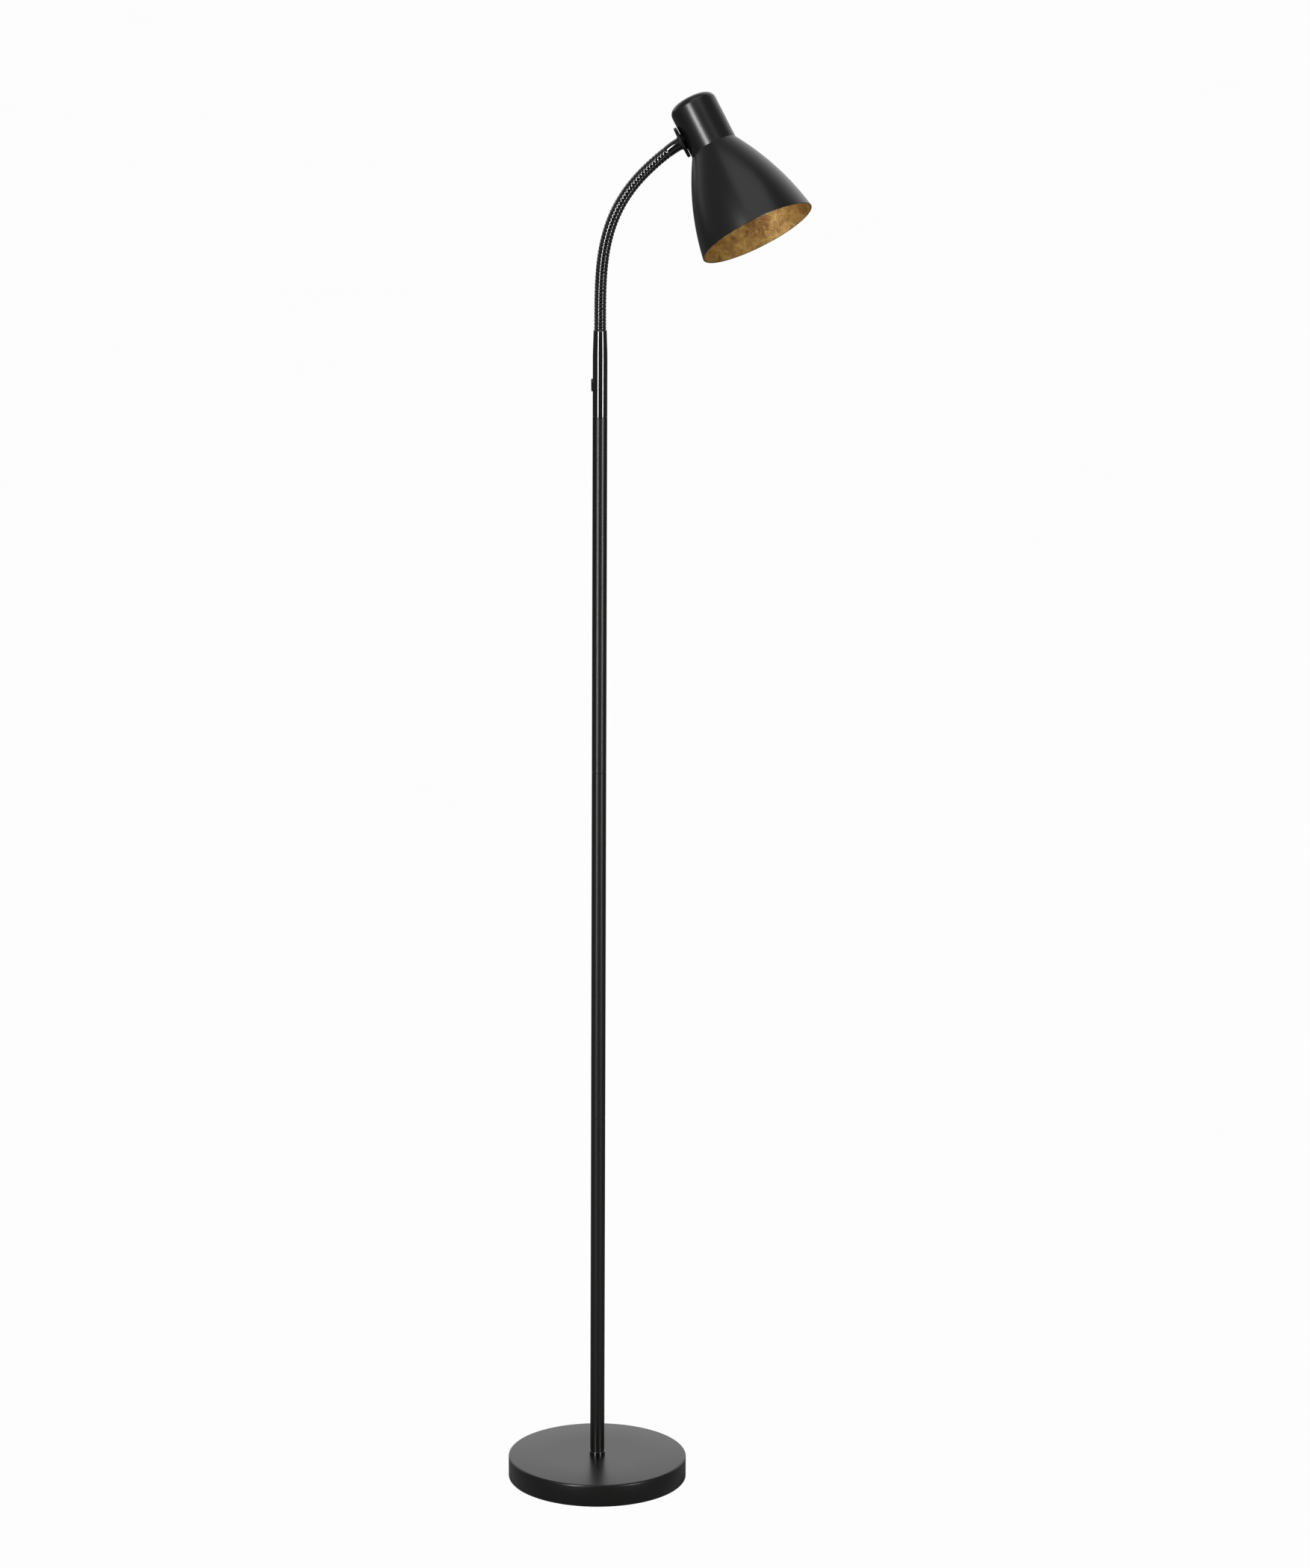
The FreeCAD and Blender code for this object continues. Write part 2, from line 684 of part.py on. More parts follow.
def cup_corners():
    """The hollow that a nose turns in: every point is further from the centre than its crest."""
    reach = RibDiameter / 2 + BallGap
    lip = RibPitch / 2 + LipSetback
    throat = CupThroat / 2
    return [
        (wire_r, (reach * reach - wire_r * wire_r).root()),
        (throat, (reach * reach - throat * throat).root()),
        ((reach * reach - lip * lip).root(), lip),
    ]


def lip_corner():
    """The edge of a cup, on the flank of the first rib."""
    flank = (RibDiameter - GrooveDiameter) / RibPitch
    return (GrooveDiameter / 2 + flank * LipSetback, RibPitch / 2 + LipSetback)


def make_gooseneck():
    """A stem that turns in the tube's drawn-in top, ten ribbed links on balls, and the end."""
    foot_ball = RibPitch * (FOOT_RIBS + 0.5)
    ribs = flat_sided("foot_ribs", [
        (wire_r, RunningGap), (GrooveDiameter / 2, RunningGap),
        *rib_corners(RibPitch / 2, FOOT_RIBS + 1)[1:], *nose_corners(foot_ball),
    ], RIB_SIDES)
    stem = loose_ring("foot_stem", thread_r, wire_r, -TaperLength - ThinNutHeight - 1, RibPitch)
    foot = fused("gooseneck_foot", [ribs, stem])
    raise_to(foot, tube_top)
    nut = hex_nut("stem_nut", StemNutFlats, ThinNutHeight)
    raise_to(nut, tube_top - TaperLength - RunningGap - ThinNutHeight)

    link_length = RibPitch * 5
    place = FreeCAD.Vector(0, 0, (tube_top + foot_ball).value)
    direction = 0.0
    for ball, bend in enumerate(ball_bends(), 1):
        direction += bend
        frame = FreeCAD.Placement(place, FreeCAD.Rotation(FreeCAD.Vector(0, 1, 0), direction))
        if ball < BALLS:
            link = flat_sided(f"gooseneck_link_{ball:02d}", [
                *cup_corners(), lip_corner(), *rib_corners(RibPitch, 5)[1:],
                *nose_corners(link_length),
            ], RIB_SIDES)
            link.Placement = frame
            pieces.append(link)
            place = frame.multVec(FreeCAD.Vector(0, 0, link_length.value))
    return make_gooseneck_end(frame, direction)


def fused(label, members):
    whole = doc.addObject("Part::MultiFuse", label)
    whole.Shapes = members
    pieces.append(whole)
    return whole


def make_gooseneck_end(frame, direction):
    """The smooth end: a cup, a bent sleeve and the threaded stem that the head turns on."""
    sleeve_r = SleeveDiameter / 2
    lip = lip_corner()
    turn = EndAngle.value - direction
    bend_r = SleeveBent.value / math.radians(turn)
    heights = [SleeveStraight + SleeveBent * band / SLEEVE_BANDS for band in range(SLEEVE_BANDS + 1)]
    sleeve = flat_sided("end_sleeve", [
        *cup_corners(), lip, (sleeve_r, lip[1] + sleeve_r - lip[0]),
        *[(sleeve_r, height) for height in heights],
        *[(wire_r, height) for height in heights[::-1]],
    ], SLEEVE_SIDES, SleeveStraight, bend_r)
    sleeve.Placement = frame

    local = FreeCAD.Rotation(FreeCAD.Vector(0, 1, 0), turn)
    centre = FreeCAD.Vector(bend_r, 0, SleeveStraight.value)
    tip = centre + local.multVec(FreeCAD.Vector(-bend_r, 0, 0))
    end_frame = frame.multiply(FreeCAD.Placement(tip, local))
    stem = loose_ring("end_stem", thread_r, wire_r, 0, nut_face() + ThinNutHeight + StemEnd)
    stem.Placement = end_frame
    fused("gooseneck_end", [sleeve, stem])
    return end_frame


# ---------------------------------------------------------------- head joint

def strap_face():
    """Distance of the bracket's wall-side face from the end of the gooseneck."""
    return HeadStandOff - (NeckDiameter / 2 - HeadWall) + SaddleThickness


def nut_face():
    """Where the nut sits, behind the strap with a running gap."""
    return strap_face() + StrapThickness + RunningGap


def make_head_joint(end_frame, head_frame):
    """Cover disc and saddles turn with the head; the ring and the nut stay on the stem."""
    stem_fit = thread_r + StemFit
    disc_low = EndRingThickness + RunningGap
    disc_high = disc_low + DiscThickness
    disc_r = DiscDiameter / 2
    spacer = ring("end_ring", EndRingDiameter / 2, tapped_r, 0, EndRingThickness)
    disc = ring("cover_disc", disc_r, stem_fit, disc_low, disc_high)
    round_edges(disc, EdgeBreak * 2, [(disc_r, disc_low)], "PartDesign::Chamfer")
    nut = hex_nut("joint_nut", ThinNutFlats, ThinNutHeight)
    for body in (spacer, disc):
        body.Placement = end_frame
    nut.Placement = end_frame.multiply(lifted(nut_face()))

    neck_r = NeckDiameter / 2
    wall_inside = HeadStandOff - neck_r + HeadWall
    saddles = (
        ("outer_saddle", disc_high, HeadStandOff - neck_r / 2, neck_r, "Part::Cut"),
        ("inner_saddle", wall_inside, strap_face(), neck_inside_r * math.cos(math.pi / SHADE_SIDES), "Part::Common"),
    )
    for name, low, high, radius, operation in saddles:
        block = loose_ring(name + "_block", SaddleDiameter / 2, stem_fit, low, high)
        block.Placement = end_frame
        neck = doc.addObject("Part::Cylinder", name + "_neck")
        neck.setExpression("Radius", radius.formula)
        neck.setExpression("Height", HeadLength.formula)
        neck.Placement = head_frame
        saddle = doc.addObject(operation, name)
        saddle.Base = block
        saddle.Tool = neck
        pieces.append(saddle)


# ---------------------------------------------------------------- head

def make_shade(head_frame):
    """One spun bell with its neck and crown, the gooseneck's port in the side of the neck."""
    mouth_r = MouthDiameter / 2
    neck_r = NeckDiameter / 2
    inside_r = neck_r - HeadWall
    # centre of the bell's arc, from its two outer ends
    run = mouth_r - neck_r
    chord = (run * run + BellLength * BellLength).root()
    rise = (BellRadius * BellRadius - chord * chord / 4).root()
    centre_r = (mouth_r + neck_r) / 2 - BellLength / chord * rise
    centre_z = BellLength / 2 - run / chord * rise
    inner = BellRadius - HeadWall
    crown_r = neck_r - CrownEdge
    crown_z = HeadLength - CrownEdge
    outside = [
        *arc_points(centre_r, centre_z, BellRadius, 0, BellLength, BELL_BANDS),
        *quarter_points(crown_r, crown_z, CrownEdge, CROWN_BANDS), (0, HeadLength),
    ]
    reach = inside_r - centre_r
    bell_inside = centre_z + (inner * inner - reach * reach).root()
    inside = [
        *arc_points(centre_r, centre_z, inner, 0, bell_inside, BELL_BANDS),
        *quarter_points(crown_r, crown_z, CrownEdge - HeadWall, CROWN_BANDS), (0, HeadLength - HeadWall),
    ]
    bell = flat_sided("bell", outside + inside[::-1], SHADE_SIDES)
    port = doc.addObject("Part::Cylinder", "port")
    port.setExpression("Radius", (thread_r + StemFit).formula)
    port.setExpression("Height", (neck_r + 1).formula)
    port.Placement = FreeCAD.Placement(
        FreeCAD.Vector(0, 0, port_height.value), FreeCAD.Rotation(FreeCAD.Vector(0, 1, 0), -90))
    shade = doc.addObject("Part::Cut", "shade")
    shade.Base = bell
    shade.Tool = port
    shade.Placement = head_frame
    pieces.append(shade)


def arc_points(centre_r, centre_z, radius, low, high, bands):
    """Points of a big arc at even heights, from low to high."""
    points = []
    for band in range(bands + 1):
        z = as_size(low) + (as_size(high) - low) * band / bands
        points.append((centre_r + (radius * radius - (z - centre_z) * (z - centre_z)).root(), z))
    return points


def quarter_points(centre_r, centre_z, radius, bands):
    """Points of a quarter round, from its widest place up to its top."""
    points = []
    for band in range(bands + 1):
        turn = math.pi / 2 * band / bands
        points.append((centre_r + radius * math.cos(turn), centre_z + radius * math.sin(turn)))
    return points


def make_lampholder(head_frame):
    """A small screw lampholder on an angle bracket that the gooseneck's own nut clamps."""
    leg_out = strap_face() - HeadStandOff
    leg_in = leg_out + StrapThickness
    under = strap_top - StrapThickness
    low = port_height - SaddleDiameter / 2
    bracket = new_body("socket_bracket")
    outline = outline_sketch(bracket, "bracket_outline", "XZ_Plane", [
        (leg_out, low), (leg_in, low), (leg_in, under),
        (StrapReach, under), (StrapReach, strap_top), (leg_out, strap_top),
    ])
    pad(bracket, "bracket_strap", outline, StrapWidth, both_ways=True)
    bend_edges(bracket, (leg_in, under), StrapBend)
    bend_edges(bracket, (leg_out, strap_top), StrapBend + StrapThickness)
    port = circle_sketch(bracket, "bracket_port", "YZ_Plane", (0, port_height), thread_r + StemFit)
    cut(bracket, "bracket_port_cut", port, HeadStandOff, against_normal=True)
    entry = circle_sketch(bracket, "bracket_entry", "XY_Plane", (0, 0), hole_r)
    cut(bracket, "bracket_entry_cut", entry, HeadLength, against_normal=False)
    bracket.Placement = head_frame

    holder_r = HolderDiameter / 2
    skirt_r = holder_r - HolderWall
    top = under - CapLength
    mouth = top - SkirtLength
    shell_low = mouth + ShellInset
    shell_high = shell_low + ScrewShellLength
    well = shell_high + ContactHeight
    well_r = (ScrewShellBore - CapWall) / 2
    block_r = skirt_r - HoleClearance
    lead_hole_r = ContactDiameter / 2 - ContactRim
    cap_r = holder_r - CapWall
    cap_inside = under - CapWall
    turned_pieces = [
        turned("holder_cap", [
            (hole_r, under), (holder_r - CapShoulder, under), (holder_r, under - CapShoulder),
            (holder_r, top), (cap_r, top), (cap_r, cap_inside), (hole_r, cap_inside),
        ]),
        turned("holder_skirt", [
            (HolderLip, mouth), (holder_r, mouth), (holder_r, top),
            (skirt_r, top), (skirt_r, mouth + HolderWall), (HolderLip, mouth + HolderWall),
        ]),
        ring("screw_shell", ScrewShellBore / 2 + ScrewShellWall, ScrewShellBore / 2, shell_low, shell_high),
        turned("holder_insulator", [
            (lead_hole_r, well), (well_r, well), (well_r, shell_high),
            (block_r, shell_high), (block_r, top), (lead_hole_r, top),
        ]),
        ring("entry_tube", thread_r, wire_r, under - EntryTubeBelow,
             strap_top + ThinNutHeight + EntryTubeAbove),
    ]
    for body in turned_pieces:
        body.Placement = head_frame
    nut = hex_nut("entry_nut", ThinNutFlats, ThinNutHeight)
    nut.Placement = head_frame.multiply(lifted(strap_top))
    contact = doc.addObject("Part::Cylinder", "centre_contact")
    contact.setExpression("Radius", (ContactDiameter / 2).formula)
    contact.setExpression("Height", ContactHeight.formula)
    contact.Placement = head_frame.multiply(lifted(shell_high))
    pieces.append(contact)
    screws = []
    for sign, name in ((-1, "left_screw"), (1, "right_screw")):
        screw = doc.addObject("Part::Cylinder", name)
        screw.setExpression("Radius", (TerminalScrewDiameter / 2).formula)
        screw.setExpression("Height", TerminalScrewLength.formula)
        at = FreeCAD.Vector(0, sign * TerminalSpacing.value / 2, top.value)
        screw.Placement = head_frame.multiply(FreeCAD.Placement(at, FreeCAD.Rotation()))
        screws.append(screw)
    group("terminal_screws", screws)


def lifted(height):
    """A shift along the local Z axis."""
    return FreeCAD.Placement(FreeCAD.Vector(0, 0, as_size(height).value), FreeCAD.Rotation())


def head_place(end_frame):
    """The head's frame: origin at its mouth, +Z up its axis, the gooseneck on its -X side."""
    swivel = FreeCAD.Rotation(FreeCAD.Vector(0, 0, 1), -HeadSwivelAngle.value)
    stand = FreeCAD.Placement(FreeCAD.Vector(0, 0, HeadStandOff.value), swivel)
    upright = FreeCAD.Rotation(
        FreeCAD.Vector(0, 0, 1), FreeCAD.Vector(0, 1, 0), FreeCAD.Vector(-1, 0, 0), "XYZ")
    axis = FreeCAD.Placement(FreeCAD.Vector(0, 0, 0), upright)
    return end_frame.multiply(stand).multiply(axis).multiply(lifted(-port_height))


# ---------------------------------------------------------------- run

make_base()
make_pole()
make_switch_tube()
make_switch()
end_place = make_gooseneck()
head_frame = head_place(end_place)
make_head_joint(end_place, head_frame)
make_shade(head_frame)
make_lampholder(head_frame)

doc.recompute()
for item in doc.Objects:
    if {"Invalid", "Error"} & set(item.State):
        raise RuntimeError(f"{item.Label} is {item.State}")
for piece in pieces:
    if piece.Shape.isNull() or not piece.Shape.isValid():
        raise RuntimeError(f"{piece.Label} has no valid shape")
for piece in pieces:
    piece.Shape.exportStep(f"parts/{piece.Label}.step")
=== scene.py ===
import json
import math

import bpy
from mathutils import Matrix, Vector


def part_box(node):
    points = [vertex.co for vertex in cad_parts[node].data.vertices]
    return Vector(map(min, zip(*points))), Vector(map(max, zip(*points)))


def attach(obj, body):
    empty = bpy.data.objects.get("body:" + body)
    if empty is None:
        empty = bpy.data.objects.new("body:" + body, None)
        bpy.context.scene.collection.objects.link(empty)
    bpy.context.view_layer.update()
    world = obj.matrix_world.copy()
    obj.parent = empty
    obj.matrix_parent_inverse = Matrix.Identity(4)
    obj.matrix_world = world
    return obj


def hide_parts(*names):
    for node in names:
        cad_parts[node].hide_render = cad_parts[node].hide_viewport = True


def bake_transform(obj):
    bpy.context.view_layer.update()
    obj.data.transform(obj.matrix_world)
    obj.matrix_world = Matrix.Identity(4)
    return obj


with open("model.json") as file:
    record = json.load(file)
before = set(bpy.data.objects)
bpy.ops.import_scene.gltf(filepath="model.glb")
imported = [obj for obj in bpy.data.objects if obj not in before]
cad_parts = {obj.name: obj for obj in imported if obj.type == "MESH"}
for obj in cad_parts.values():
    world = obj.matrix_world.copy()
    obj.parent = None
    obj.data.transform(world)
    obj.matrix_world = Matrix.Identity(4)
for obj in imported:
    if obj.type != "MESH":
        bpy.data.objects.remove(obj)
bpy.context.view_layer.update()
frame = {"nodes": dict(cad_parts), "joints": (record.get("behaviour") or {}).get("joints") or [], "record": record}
joints = {joint["name"]: joint for joint in frame["joints"]}


# ---------------------------------------------------------------- floor, light and camera
# A pale floor that melts into a white studio. Two tall strip lamps stand on it and draw the
# fine streaks on the pole, a third lights the shade's neck and a soft one hangs overhead. A
# long lens looks down at the lamp.

class Wire:
    """An output socket that can be used in plain sums."""

    def __init__(self, finish, socket):
        self.finish = finish
        self.socket = socket

    def maths(self, operation, first, second):
        return self.finish.node("Math", {"operation": operation}, {0: first, 1: second})

    def __add__(self, other):
        return self.maths("ADD", self, other)

    def __mul__(self, other):
        return self.maths("MULTIPLY", self, other)

    __radd__ = __add__
    __rmul__ = __mul__


class Finish:
    """A procedural material, or the studio's own light, made node by node."""

    def __init__(self, name, kind="Material"):
        makers = {"Material": bpy.data.materials, "World": bpy.data.worlds}
        self.material = makers[kind].new(name)
        self.material.use_nodes = True
        self.tree = self.material.node_tree
        self.tree.nodes.clear()
        self.output = self.tree.nodes.new("ShaderNodeOutput" + kind)

    def node(self, kind, settings=None, inputs=None, output=0):
        made = self.tree.nodes.new("ShaderNode" + kind)
        for name, value in (settings or {}).items():
            if name == "stops":
                self.set_stops(made.color_ramp, value)
            else:
                setattr(made, name, value)
        for name, value in (inputs or {}).items():
            if isinstance(value, Wire):
                self.tree.links.new(value.socket, made.inputs[name])
            else:
                made.inputs[name].default_value = value
        return Wire(self, made.outputs[output])

    def set_stops(self, ramp, stops):
        while len(ramp.elements) < len(stops):
            ramp.elements.new(1)
        for element, (position, colour) in zip(ramp.elements, stops):
            element.position = position
            element.color = (*colour, 1)

    def place(self, scale=(1, 1, 1)):
        """The piece's own coordinates, in metres, stretched along its axes."""
        coordinates = self.node("TexCoord", output="Object")
        return self.node("Mapping", {}, {"Vector": coordinates, "Scale": scale})

    def noise(self, where, scale, detail=2.0, roughness=0.5):
        return self.node("TexNoise", {}, {
            "Vector": where, "Scale": scale, "Detail": detail, "Roughness": roughness})

    def ramp(self, factor, stops):
        return self.node("ValToRGB", {"stops": stops}, {"Fac": factor})

    def blend(self, factor, first, second):
        """Two colours mixed by a factor, on the Mix node's own sockets for colours."""
        colours = {0: factor, 6: first, 7: second}
        return self.node("Mix", {"data_type": "RGBA"}, colours, output=2)

    def bump(self, height, distance):
        return self.node("Bump", {}, {"Height": height, "Distance": distance, "Strength": 1.0})

    def surface(self, **sockets):
        shader = self.node("BsdfPrincipled", {}, {
            name.replace("_", " "): value for name, value in sockets.items()})
        return self.show(shader)

    def show(self, shader):
        self.tree.links.new(shader.socket, self.output.inputs["Surface"])
        return self.material


def colour(red, green, blue):
    """A paint chart's 0 to 255 values as a shader colour."""
    return tuple(
        value / 255 / 12.92 if value / 255 <= 0.04045 else ((value / 255 + 0.055) / 1.055) ** 2.4
        for value in (red, green, blue)
    )


def dress(thing, *materials):
    """Give a piece its finish or finishes, in the order of its material slots."""
    thing.data.materials.clear()
    for material in materials:
        thing.data.materials.append(material)


def deselect():
    """Go back to object mode with nothing selected."""
    if bpy.context.object and bpy.context.object.mode != "OBJECT":
        bpy.ops.object.mode_set(mode="OBJECT")
    bpy.ops.object.select_all(action="DESELECT")


FLOOR_SIZE = 60.0
FLOOR_DROP = 0.0003
FLOOR_GREY = 0.26
PAPER_WHITE = 0.975
PAPER_GRAIN = 0.01
PAPER_MIRRORED = 0.03
deselect()
bpy.ops.mesh.primitive_plane_add(size=FLOOR_SIZE, location=(0, 0, -FLOOR_DROP))
floor = bpy.context.object
floor.name = "studio_floor"
paper = Finish("studio_paper")
shadow_side = paper.node("BsdfDiffuse", {}, {"Color": (FLOOR_GREY, FLOOR_GREY, FLOOR_GREY, 1)})
bright_side = paper.node("Emission", {}, {"Color": (1, 1, 1, 1), "Strength": 1.0})
seen = paper.node("LightPath", output="Is Camera Ray")
mirrored = paper.node("LightPath", output="Is Glossy Ray")
grain = paper.noise(paper.place(), scale=3.0)
whiten = seen * (PAPER_WHITE + grain * PAPER_GRAIN) + mirrored * PAPER_MIRRORED
paper_shader = paper.node("MixShader", {}, {0: whiten, 1: shadow_side, 2: bright_side})
dress(floor, paper.show(paper_shader))

# The room is white behind the lamp, grey at its sides and overhead, and dark round the camera.
WORLD_LIGHT = 0.26
DARK_SIDE = 0.03
GREY_SIDE = 0.2
WHITE_BACK = 0.9
UP_COUNTS = 1.1
SIDES_FROM, SIDES_FULL = -0.2, 0.05
BACK_FROM, BACK_FULL = 0.3, 0.8
studio = Finish("studio", "World")
bpy.context.scene.world = studio.material
way = studio.node("TexCoord", output="Generated")
across_way = studio.node("SeparateXYZ", {}, {"Vector": way}, output="X")
back_way = studio.node("SeparateXYZ", {}, {"Vector": way}, output="Y")
up_way = studio.node("SeparateXYZ", {}, {"Vector": way}, output="Z")
to_a_side = studio.node("Math", {"operation": "ABSOLUTE"}, {0: across_way})
from_front = back_way + to_a_side + up_way * UP_COUNTS
sides = studio.node("MapRange", {}, {
    "Value": from_front, "From Min": SIDES_FROM, "From Max": SIDES_FULL,
    "To Min": DARK_SIDE, "To Max": GREY_SIDE})
behind = studio.node("MapRange", {}, {
    "Value": back_way, "From Min": BACK_FROM, "From Max": BACK_FULL,
    "To Min": 0.0, "To Max": WHITE_BACK})
seen = studio.node("LightPath", output="Is Camera Ray")
mirrored = studio.node("LightPath", output="Is Glossy Ray")
even_light = studio.node("Background", {}, {"Color": (1, 1, 1, 1), "Strength": WORLD_LIGHT})
room = studio.node("Background", {}, {"Color": (1, 1, 1, 1), "Strength": sides + behind})
white = studio.node("Background", {}, {"Color": (1, 1, 1, 1), "Strength": 1.0})
glossy = studio.node("MixShader", {}, {0: mirrored, 1: even_light, 2: room})
studio.show(studio.node("MixShader", {}, {0: seen, 1: glossy, 2: white}))

# Each lamp: its bearing to the right of the camera's side, distance, height, size and power.
# One that stands on the floor faces the pole level; a higher one looks at the lamp's head.
STANDING_BELOW = 2
HEAD_HEIGHT = 1.5
for strip, bearing, away, height, size, power in (
    ("left_strip", -34.5, 3.1, 0.65, (0.56, 1.3), 40),
    ("right_strip", 42.5, 3.6, 0.65, (0.62, 1.3), 44),
    ("neck_light", -34.5, 3.1, 2.9, (0.5, 1.2), 52),
    ("top_light", 0.0, 0.9, 4.2, (2.4, 2.4), 14),
):
    turn = math.radians(bearing)
    place = Vector((away * math.sin(turn), -away * math.cos(turn), height))
    lamp = bpy.data.lights.new(strip, "AREA")
    lamp.shape = "RECTANGLE"
    lamp.size, lamp.size_y = size
    lamp.energy = power
    holder = bpy.data.objects.new(strip, lamp)
    holder.visible_camera = False
    aim = Vector((0, 0, height if height < STANDING_BELOW else HEAD_HEIGHT)) - place
    holder.rotation_euler = aim.to_track_quat("-Z", "Y").to_euler()
    holder.location = place
    bpy.context.collection.objects.link(holder)

CAMERA_TURN = math.radians(-3.5)
CAMERA_TILT = math.radians(15.59)
CAMERA_ROLL = math.radians(0.27)
CAMERA_AWAY = 7.8342
CAMERA_SIDE = 0.06165
CAMERA_HEIGHT = 2.9977
LENS = 169.6
LONG_SIDE = 36.0
FAR_END = 100
to_right = Vector((math.cos(CAMERA_TURN), math.sin(CAMERA_TURN), 0))
to_camera = Vector((math.sin(CAMERA_TURN), -math.cos(CAMERA_TURN), 0))
upright = Vector((0, 0, 1))
look = -to_camera * math.cos(CAMERA_TILT) - upright * math.sin(CAMERA_TILT)
rise = upright * math.cos(CAMERA_TILT) - to_camera * math.sin(CAMERA_TILT)
camera_x = to_right * math.cos(CAMERA_ROLL) + rise * math.sin(CAMERA_ROLL)
camera_y = rise * math.cos(CAMERA_ROLL) - to_right * math.sin(CAMERA_ROLL)
camera_data = bpy.data.cameras.new("camera")
camera_data.sensor_fit = "VERTICAL"
camera_data.sensor_height = LONG_SIDE
camera_data.lens = LENS
camera_data.clip_end = FAR_END
camera = bpy.data.objects.new("camera", camera_data)
bpy.context.collection.objects.link(camera)
camera_place = to_camera * CAMERA_AWAY + to_right * CAMERA_SIDE + upright * CAMERA_HEIGHT
camera.matrix_world = Matrix((
    (camera_x.x, camera_y.x, -look.x, camera_place.x),
    (camera_x.y, camera_y.y, -look.y, camera_place.y),
    (camera_x.z, camera_y.z, -look.z, camera_place.z),
    (0, 0, 0, 1),
))
bpy.context.scene.camera = camera
bpy.context.scene.view_settings.view_transform = "Standard"


# ---------------------------------------------------------------- base cover
# A pressed steel disc with a small round edge and a folded rim, stoved in black lacquer.
# Its fine orange peel blurs the white studio to an even grey on top.

def ring_up(points, sides):
    """Add a circle at the first (radius, height) and raise it through the others."""
    deselect()
    bpy.ops.mesh.primitive_circle_add(
        vertices=sides, radius=points[0][0], location=(0, 0, points[0][1]))
    bpy.ops.object.transform_apply(location=True, rotation=False, scale=False)
    bpy.ops.object.mode_set(mode="EDIT")
    bpy.ops.mesh.select_all(action="SELECT")
    for (radius, height), (next_radius, next_height) in zip(points, points[1:]):
        bpy.ops.mesh.extrude_region_move(
            TRANSFORM_OT_translate={"value": (0, 0, next_height - height)})
        grow = next_radius / radius
        bpy.ops.transform.resize(value=(grow, grow, 1), center_override=(0, 0, next_height))


def turned(name, points, sides=96, closed=True, smooth=35):
    """A lathe piece. A closed outline comes back to its start; an open one is capped flat."""
    ring_up(points + points[:1] if closed else points, sides)
    bpy.ops.mesh.select_all(action="SELECT")
    bpy.ops.mesh.remove_doubles(threshold=1e-7)
    if not closed:
        bpy.ops.mesh.select_all(action="DESELECT")
        bpy.ops.mesh.select_non_manifold()
        bpy.ops.mesh.fill_holes(sides=0)
        bpy.ops.mesh.select_all(action="SELECT")
    bpy.ops.mesh.normals_make_consistent(inside=False)
    bpy.ops.object.mode_set(mode="OBJECT")
    bpy.ops.object.shade_smooth_by_angle(angle=math.radians(smooth))
    piece = bpy.context.object
    piece.name = piece.data.name = name
    return piece


def rounding(radius, height, size, start, stop, steps=5):
    """Points of a round edge about a centre, between two angles in degrees."""
    points = []
    for step in range(steps + 1):
        angle = math.radians(start + (stop - start) * step / steps)
        points.append((radius + size * math.cos(angle), height + size * math.sin(angle)))
    return points


def black_lacquer(name, base, sheen, grain, depth, body=1.5, coat=0.0):
    """Stoved black lacquer: base colour, mean roughness, grains per metre, grain depth."""
    finish = Finish(name)
    here = finish.place()
    cloud = finish.noise(here, scale=14.0, detail=3.0)
    peel = finish.noise(here, grain, roughness=0.6)
    dark = colour(*base)
    paler = 1.3
    pale = tuple(value * paler for value in dark)
    tint = finish.blend(cloud, (*dark, 1), (*pale, 1))
    uneven = 0.04
    rough = cloud * uneven + peel * uneven + (sheen - uneven)
    return finish.surface(
        Base_Color=tint, Roughness=rough, IOR=body,
        Coat_Weight=coat, Coat_Roughness=0.05, Normal=finish.bump(peel, depth))


BASE_SIDES = 160
base_low, base_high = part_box("base_cover")
cover_r = (base_high[0] - base_low[0]) / 2
cover_top = base_high[2]
cover_foot = base_low[2]
COVER_WALL = 0.0012
COVER_EDGE = 0.0022
RIM_UP = 0.0006
RIM_IN = 0.0004
HOLE_R = 0.0052
cover_points = [
    (HOLE_R, cover_top),
    (cover_r * 0.5, cover_top),
    *rounding(cover_r - COVER_EDGE, cover_top - COVER_EDGE, COVER_EDGE, 90, 0, steps=6),
    (cover_r, cover_foot + RIM_UP),
    (cover_r - RIM_IN, cover_foot),
    (cover_r - COVER_WALL, cover_foot),
    (cover_r - COVER_WALL, cover_top - COVER_EDGE),
    (cover_r - COVER_EDGE, cover_top - COVER_WALL),
    (HOLE_R, cover_top - COVER_WALL),
]
base_cover = turned("base_disc", cover_points, BASE_SIDES)
satin_black = black_lacquer(
    "satin_black_lacquer", (11, 11, 10), sheen=0.30, grain=1300.0, depth=0.00002)
dress(base_cover, satin_black)
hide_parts("base_cover")
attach(base_cover, "stand")


# ---------------------------------------------------------------- weight, pad and fixings
# A cast disc fills the cover, a ring of foam rubber saves the floor, and one nut on the
# threaded wire tube clamps all of them. Zinc plating on the fixings has a bluish bloom.

def rough_casting():
    finish = Finish("cast_iron_skin")
    here = finish.place()
    lumps = finish.noise(here, scale=260.0, detail=4.0)
    stain = finish.noise(here, scale=18.0, detail=3.0)
    skin = finish.ramp(stain, [(0.3, colour(52, 50, 48)), (0.7, colour(84, 74, 64))])
    return finish.surface(
        Base_Color=skin, Metallic=0.7, Roughness=lumps * 0.2 + 0.6,
        Normal=finish.bump(lumps, distance=0.0004))


